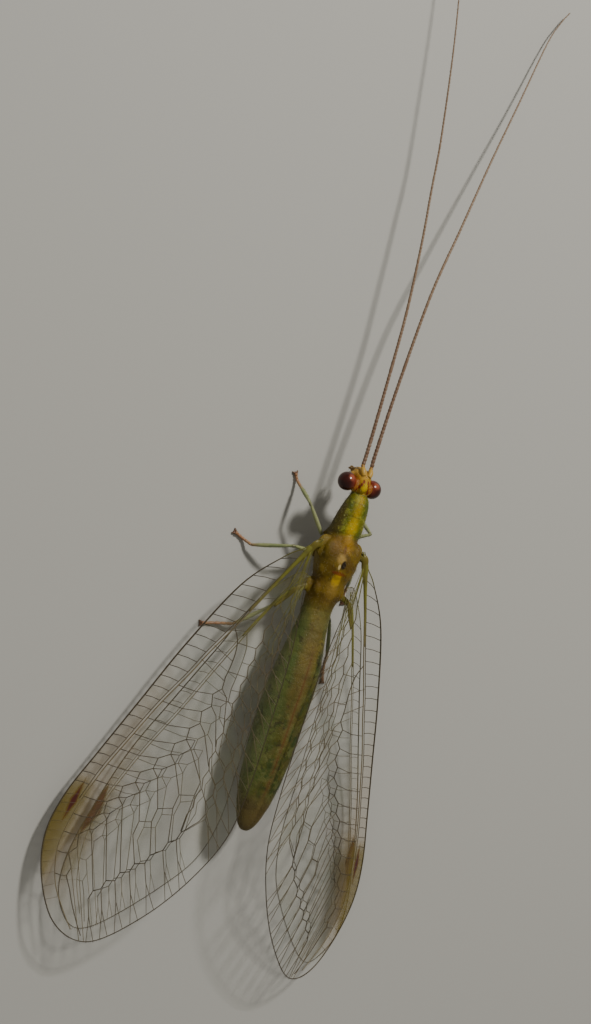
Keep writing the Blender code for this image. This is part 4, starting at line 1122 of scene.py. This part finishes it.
def grow_net(plan):
    polygon = smooth_path([*plan["outline"], plan["outline"][0]], 8)[:-1]
    radius, sector, media, cubitus = (smooth_path(plan[word], 6) for word in ("radius", "sector", "media", "cubitus"))
    tip = int(np.argmax(polygon[:, 0]))
    front = polygon[8:tip + 1]
    veins = []
    split = np.array((0.0, plan["split"]))
    stigma = plan["costal"][1]
    lean_back = 0.30
    veins.append((radius + split, THICK["radius"], THICK["branch"], 0.1))
    veins.append(((radius - split)[radius[:, 0] < stigma + 0.4], THICK["subcosta"], THICK["branch"], 0.5))
    s, last = plan["costal"]
    while s < last:
        lean = mix(0.42, 0.10, min(1.0, s / 6.0))
        top = on(front, s + lean)
        foot = on(radius, s, -plan["split"])
        veins.append((np.array([foot, mix(foot, top, 0.5) - (0.03, 0.0), top]), THICK["rung"], THICK["rung"], 0.9))
        s += mix(0.62, 0.44, s / last)
    for s in np.arange(stigma + 0.2, radius[-1, 0] - 0.8, 0.40):
        veins.append((np.array([on(radius, s), on(front, s + 0.30)]), 0.6 * THICK["fork"], 0.6 * THICK["fork"], 0.45))
    first, step = plan["branch_first"], plan["branch_step"]
    numbers = range(-EARLY, BRANCHES + LATE + 1)
    nodes = {k: on(sector, first + step * k, plan["zigzag"]) for k in numbers}
    bends = {k: on(sector, first + step * (k + 0.45), -plan["zigzag"]) for k in numbers}
    zigzag = list(sector[sector[:, 0] < nodes[-EARLY][0] - 0.3])
    for k in numbers:
        zigzag += [nodes[k], bends[k]]
    zigzag += list(sector[sector[:, 0] > bends[numbers[-1]][0] + 0.3])
    veins.append((np.array(zigzag), THICK["sector"], THICK["branch"], 0.6))
    for k in numbers:
        gap = np.min(np.linalg.norm(radius - bends[k], axis=1))
        near = on(radius, bends[k][0] - 0.05 + lean_back * gap)
        bow = mix(near, bends[k], 0.55) + (0.06 * gap, 0.0)
        veins.append((np.array([near + split, bow, bends[k]]), THICK["rung"], THICK["rung"], 0.7))
    for s in np.arange(sector[8, 0] + 0.5, nodes[-EARLY][0], 0.85):
        near = radius[np.argmin(np.linalg.norm(radius - on(sector, s), axis=1))]
        veins.append((np.array([near, on(sector, s)]), THICK["rung"], THICK["rung"], 0.6))
    grow_branches(plan, veins, polygon, nodes, media)
    grow_rear(plan, veins, polygon, sector, media, cubitus)
    return polygon, veins, tip


def grow_branches(plan, veins, polygon, nodes, media):
    """Each branch stands on the sector with two short feet, and crosses the inner and the dark outer steps."""
    inner, outer = (np.array(plan[word]) for word in ("inner", "outer"))
    thick = THICK["branch"]
    past_inner, past_outer, past_foot = None, None, None
    for k in range(1, BRANCHES + 1):
        reach = min(1.0, (BRANCHES + 3 - k) / 6.0)
        root, left, foot = nodes[k], nodes[k] + LEFT_FOOT * reach, nodes[k] + RIGHT_FOOT * reach
        for line in ([root, left], [left, foot]):
            veins.append((np.array(line), THICK["rung"], THICK["rung"], 0.7))
        if past_foot is not None:
            veins.append((np.array([past_foot, left]), THICK["rung"], THICK["rung"], 0.7))
        past_foot = foot
        path = [root, foot]
        if k <= len(inner):
            path += [inner[k - 1], inner[k - 1] + INNER_STEP]
            if past_inner is not None:
                veins.append((np.array([past_inner, inner[k - 1]]), THICK["rung"], THICK["rung"], 0.6))
            past_inner = path[-1]
        path += [outer[k - 1], outer[k - 1] + OUTER_STEP]
        veins.append((np.array(path[:-1]), thick, thick, 0.50))
        veins.append((np.array(path[-2:]), THICK["step"], THICK["step"], 1.0))
        if past_outer is not None:
            veins.append((np.array([past_outer, path[-2]]), THICK["step"], THICK["step"], 1.0))
        past_outer = path[-1]
        bend = mix(7.0, 0.0, (k - 1) / (BRANCHES - 1))
        forked(veins, to_margin(path[-1], BRANCH_ANGLE, polygon, bend), thick, 0.55, 0.42, 8.0, polygon)
    for k in nodes:
        if k < 1:
            foot = nodes[k] + RIGHT_FOOT
            veins.append((np.array([nodes[k], foot, on(media, nodes[k][0] + 1.35)]), thick, thick, 0.5))
        if k > BRANCHES:
            line = to_margin(nodes[k], BRANCH_ANGLE + 2.0 * (k - BRANCHES), polygon)
            veins.append((line, THICK["fork"], THICK["fork"], 0.3))


def grow_rear(plan, veins, polygon, sector, media, cubitus):
    """Media, cubitus, the cells between them, and the branches to the hind margin."""
    def wavy(line, s, k):
        return on(line, s, 0.06 * (1 if k % 2 else -1))

    steps = np.arange(plan["rear_first"], plan["rear_last"], 0.40)
    for line in (media, cubitus):
        start = line[line[:, 0] < steps[0] - 0.2]
        rest = [wavy(line, s, k) for k, s in enumerate(steps) if s < line[-1, 0] - 0.5]
        veins.append((np.vstack([start, rest, line[-1:]]), THICK["sector"], THICK["branch"], 0.45))
    for k, s in enumerate(steps):
        if k % 2 and s + 0.40 < steps[-1]:
            across = np.array([wavy(media, s, k), wavy(cubitus, s + 0.40, k + 1)])
            veins.append((across, THICK["rung"], THICK["rung"], 0.45))
        if k % 2 and s + 0.2 < cubitus[-3, 0]:
            line = to_margin(wavy(cubitus, s, k), mix(66.0, 44.0, s / 12.0), polygon, -2.0)
            forked(veins, line, THICK["branch"], 0.40, 0.30, 12.0, polygon)
        if k % 3 == 0 and sector[0, 0] < s < plan["branch_first"] - 0.6:
            across = np.array([on(sector, s + 0.15), wavy(media, s, k)])
            veins.append((across, THICK["rung"], THICK["rung"], 0.5))
    for line in plan["anal"]:
        veins.append((smooth_path(line, 5), THICK["branch"], THICK["fork"], 0.3))


NETS = {kind: grow_net(plan) for kind, plan in (("fore", FORE), ("hind", HIND))}
for kind, (_, veins, _) in NETS.items():
    print(kind, "wing:", len(veins), "veins")

# %% [markdown]
# ## The clear sheet
#
# Between the veins the wing is a sheet a few thousandths of a millimetre thick. Flat glass would look
# dead, because in a real wing every cell is a tiny window that bulges a little. So the sheet is cut into
# small triangles, each point sinks by how far it is from the nearest vein, and a hair's breadth of
# thickness closes it. Its two flat numbers go along as `along` and `extra`, for the wing spot.

# %% Wing sheets
SHEET_STEP = 0.13
SHEET_THICKNESS = 0.014
CELL_SAG = 0.035
CELL_HALF = 0.30
MERGE = 0.02


def vein_tree(veins, polygon):
    """A search tree of points along all the veins and the margin."""
    spots = []
    for line in [v[0] for v in veins] + [polygon]:
        for a, b in zip(line, line[1:]):
            count = max(1, int(np.linalg.norm(b - a) / 0.05))
            spots += [mix(a, b, k / count) for k in range(count)]
    tree = kdtree.KDTree(len(spots))
    for k, spot in enumerate(spots):
        tree.insert((*spot, 0.0), k)
    tree.balance()
    return tree


def flat_sheet(polygon, tree):
    """Triangles that fill the outline, with how far each point is from a vein."""
    low, high = polygon.min(0), polygon.max(0)
    rows = np.arange(low[1], high[1], SHEET_STEP * 0.87)
    grid = [(s + (SHEET_STEP / 2 if k % 2 else 0.0), t) for k, t in enumerate(rows)
            for s in np.arange(low[0], high[0], SHEET_STEP)]
    grid = np.array(grid)
    grid = grid[inside(grid, polygon)]
    grid = [p for p in grid if min(np.linalg.norm(polygon - p, axis=1)) > SHEET_STEP * 0.5]
    points = [Vector(p) for p in (*polygon, *grid)]
    edges = [(k, (k + 1) % len(polygon)) for k in range(len(polygon))]
    made, _, faces, *_ = geometry.delaunay_2d_cdt(points, edges, [], 1, MERGE)
    flat = np.array([p[:] for p in made])
    middles = np.array([flat[list(face)].mean(0) for face in faces])
    kept = [face for face, good in zip(faces, inside(middles, polygon)) if good]
    away = np.array([tree.find((*p, 0.0))[2] for p in flat])
    return flat, kept, away


def wing_sheet(kind, side):
    flat, faces, away = SHEETS[kind]
    places = PLACES[kind](flat, side)
    places[:, 2] -= CELL_SAG * ease(away / CELL_HALF)
    shape = Shape()
    shape.add(places, faces, flat[:, 0], flat[:, 1])
    return applied(mesh_of(shape, "sheet"), ("SOLIDIFY", dict(thickness=SHEET_THICKNESS, offset=0.0)))


SHEETS = {kind: flat_sheet(polygon, vein_tree(veins, polygon)) for kind, (polygon, veins, _) in NETS.items()}
for kind, (flat, faces, _) in SHEETS.items():
    print(kind, "sheet:", len(faces), "triangles")

# %% [markdown]
# ## Wing finishes
#
# The sheet is almost clear: a low, even opacity, with a faint green and pink of thin films that drifts
# over the wing. Near the front edge each wing has its spot, rust-red in the middle, olive beyond. The
# veins are greenish yellow at the root, brown further out, and the rungs and steps are dark. A brownish band along the
# outer front is the membrane's tint and painted shade together.

# %% Wing finishes
# For each wing spot: where it starts and ends along the wing, how far the olive goes on, and across from where to where.
SPOTS = {"fore": (13.5, 14.9, 17.6, -3.36, -3.14), "hind": (11.3, 13.2, 15.2, -2.62, -2.14)}


def sheet_finish(kind):
    """Colour and opacity of the clear sheet of one kind of wing."""
    start, end, far, front, back = SPOTS[kind]
    film = Finish("clear_wing_" + kind, (0.28, 0.26, 0.13), 0.14, IOR=1.6)
    along, across = film.attribute("along"), film.attribute("extra")
    film.lay((0.22, 0.28, 0.20), film.mottle(0.5, 0.40, 0.60), 0.6)
    film.lay((0.30, 0.22, 0.20), film.mottle(0.8, 0.50, 0.66), 0.5)
    strip = film.band(across, -9.0, -2.78 if kind == "fore" else -1.9, 0.24)
    olive = film.times(film.band(along, start - 0.2, far, 0.5), strip)
    half, reach = (back - front) / 2, (end - start) / 2
    aside = maths(film.tree, "ABSOLUTE", maths(film.tree, "SUBTRACT", across, front + half))
    ahead = maths(film.tree, "ABSOLUTE", maths(film.tree, "SUBTRACT", along, start + reach))
    diamond = maths(film.tree, "ADD", aside, maths(film.tree, "MULTIPLY", ahead, half / reach))
    red = film.band(diamond, -1.0, half * 1.15, 0.07)
    root = film.band(along, -9.0, 0.9, 0.9)
    # A brownish, denser band along the outer front of the wing: partly the membrane's own tint, partly painted shade
    # where the wings overlap and shade each other.
    tint_and_painted_shade = film.times(film.band(along, 7.5, 99.0, 3.0), film.band(across, -9.0, -2.1 if kind == "fore" else -1.3, 0.5))
    film.lay((0.25, 0.170, 0.060), tint_and_painted_shade)
    film.lay((0.158, 0.112, 0.010) if kind == "fore" else (0.160, 0.112, 0.018), olive)
    film.lay((0.055, 0.006, 0.003), red)
    film.lay((0.16, 0.130, 0.030), root)
    cloud = film.times(film.mottle(0.7, 0.35, 0.7), 0.035)
    clear = maths(film.tree, "ADD", cloud, 0.022)
    tinted = maths(film.tree, "ADD", clear, film.times(olive, 0.42 if kind == "fore" else 0.20))
    rooted = maths(film.tree, "ADD", tinted, maths(film.tree, "ADD", film.times(root, 0.22), film.times(tint_and_painted_shade, 0.11 if kind == "fore" else 0.05)))
    alpha = maths(film.tree, "ADD", rooted, film.times(red, 0.85))
    film.tree.links.new(alpha, film.shader.inputs["Alpha"])
    return film.done()


def vein_finish():
    vein = Finish("wing_veins", (0.118, 0.094, 0.052), 0.40, Specular_IOR_Level=0.25)
    along, dark = vein.attribute("along"), vein.attribute("extra")
    pale = vein.band(dark, -1.0, 0.3, 0.2)
    vein.lay((0.17, 0.135, 0.072), pale, 0.9)
    green = vein.times(vein.band(along, -9.0, 3.2, 1.6), vein.band(dark, -1.0, 0.62, 0.1))
    vein.lay((0.150, 0.145, 0.020), green, 0.95)
    vein.lay((0.040, 0.030, 0.018), vein.band(dark, 0.55, 9.0, 0.25), 0.9)
    vein.lay((0.075, 0.055, 0.026), vein.mottle(2.0), 0.35)
    vein.lay((0.125, 0.098, 0.014), vein.band(dark, -9.0, -0.4, 0.1), 0.85)
    return vein.done()


SHEET_FINISH = {kind: sheet_finish(kind) for kind in SPOTS}
VEIN_FINISH = vein_finish()

# %% [markdown]
# ## Veins and sheets together
#
# Each vein becomes a fine bar, laid on the slope with the sheet. The margin is the thickest vein along
# the front and thins out round the tip, and carries a fringe of short stiff hairs. The four stems at
# the root run together into one strong stalk, which is what joins the wing to its knob on the thorax.

# %% Wings
VEIN_SIDES = 6
FRINGE_STEP = 0.085
FRINGE_LENGTH = {"fore": 0.075, "hind": 0.115}
# Each stalk starts in its knob, STALK_START thick; the numbers are s, t and radius along the wing.
STALK_START = 0.075
STALKS = {"fore": ((0.62, 0.05, 0.120), (1.20, -0.12, 0.102), (1.90, -0.30, 0.078), (2.90, -0.56, 0.052),
                   (4.20, -0.90, 0.038)),
          "hind": ((0.50, -0.24, 0.080), (1.30, -0.54, 0.058), (2.30, -0.76, 0.040), (3.20, -0.92, 0.032))}
# Behind the knob, a flat shoulder carries the root: again s, t and radius.
SHOULDERS = {"fore": ((0.44, 0.16, 0.17), (0.80, 0.03, 0.15), (1.30, -0.12, 0.10), (1.80, -0.27, 0.06)),
             "hind": ((0.40, -0.14, 0.11), (0.90, -0.30, 0.08), (1.50, -0.50, 0.05))}
# The veins of the hind wings are finer than those of the fore wings.
FINENESS = {"fore": 1.0, "hind": 0.72}


def lifted(line, kind, side):
    """A flat line laid on the wing's slope, with enough points to follow it."""
    count = max(2, int(np.linalg.norm(np.diff(line, axis=0), axis=1).sum() / 0.45) + 1)
    if len(line) < count:
        grown = [mix(a, b, k / 3) for a, b in zip(line, line[1:]) for k in range(3)]
        line = np.vstack([grown, line[-1:]])
    return line, PLACES[kind](line, side)


def wing_veins(kind, side, chance):
    polygon, veins, tip = NETS[kind]
    shape = Shape()
    for line, thick, thin, dark in veins:
        keep = np.concatenate([[True], np.linalg.norm(np.diff(line, axis=0), axis=1) > 1e-4])
        line, path = lifted(line[keep], kind, side)
        radii = FINENESS[kind] * np.linspace(thick, thin, len(path))
        bar(shape, path, radii, VEIN_SIDES, along=line[:, 0], extra=dark * FINENESS[kind])
    ring = np.vstack([polygon, polygon[:1]])
    share = np.linspace(0.0, 1.0, len(ring))
    at_tip = tip / len(ring)
    radii = np.where(share < at_tip, mix(THICK["costa"], 0.024, ease(share / at_tip)), THICK["rear"])
    radii = radii * FINENESS[kind] * mix(0.5, 1.0, ease(ring[:, 0] / 5.0))
    dark = mix(0.35, 0.72, ease((ring[:, 0] - 0.6) / 1.6))
    bar(shape, PLACES[kind](ring, side), radii, VEIN_SIDES + 2, along=ring[:, 0], extra=dark)
    stalk = np.array(STALKS[kind])
    knob = np.array(WING_KNOBS[kind][0]) * (1 if side == "left" else -1, 1, 1)
    path = smooth_path(np.vstack([knob, PLACES[kind](stalk[:, :2], side)]), 6)
    radii = smooth_path(np.column_stack([np.concatenate([[STALK_START], stalk[:, 2]])] * 2), 6)[:, 0]
    bar(shape, path, radii, 12, along=path[:, 1] - path[0, 1], extra=0.0, flat=0.7)
    shoulder = np.array(SHOULDERS[kind])
    path = smooth_path(np.vstack([knob, PLACES[kind](shoulder[:, :2], side)]), 5)
    radii = np.interp(np.arange(len(path)) / 5, np.arange(len(shoulder) + 1), [0.15, *shoulder[:, 2]])
    bar(shape, path, radii, 14, along=0.0, extra=-0.6, flat=0.42)
    middle = polygon.mean(0)
    lengths = np.concatenate([[0.0], np.cumsum(np.linalg.norm(np.diff(ring, axis=0), axis=1))])
    for walk in np.arange(1.0, lengths[-1] - 1.0, FRINGE_STEP):
        flat = np.array([np.interp(walk, lengths, ring[:, k]) for k in range(2)])
        out = flat - middle
        out /= np.linalg.norm(out)
        reach = FRINGE_LENGTH[kind] * chance.uniform(0.7, 1.1)
        tipped = flat + (out + (0.7, chance.uniform(-0.2, 0.2))) * reach * 0.8
        foot, end = PLACES[kind](np.array([flat, tipped]), side)
        hair(shape, foot, end, 0.010, flat[0], 0.8)
    return mesh_of(shape, "veins")


chance = random.Random(7)
for kind in ("fore", "hind"):
    for side in ("left", "right"):
        node = kind + "wing_" + side
        put(wing_sheet(kind, side), kind + "wing_sheet_" + side, [SHEET_FINISH[kind]], [node])
        put(wing_veins(kind, side, chance), kind + "wing_veins_" + side, [VEIN_FINISH], [node])
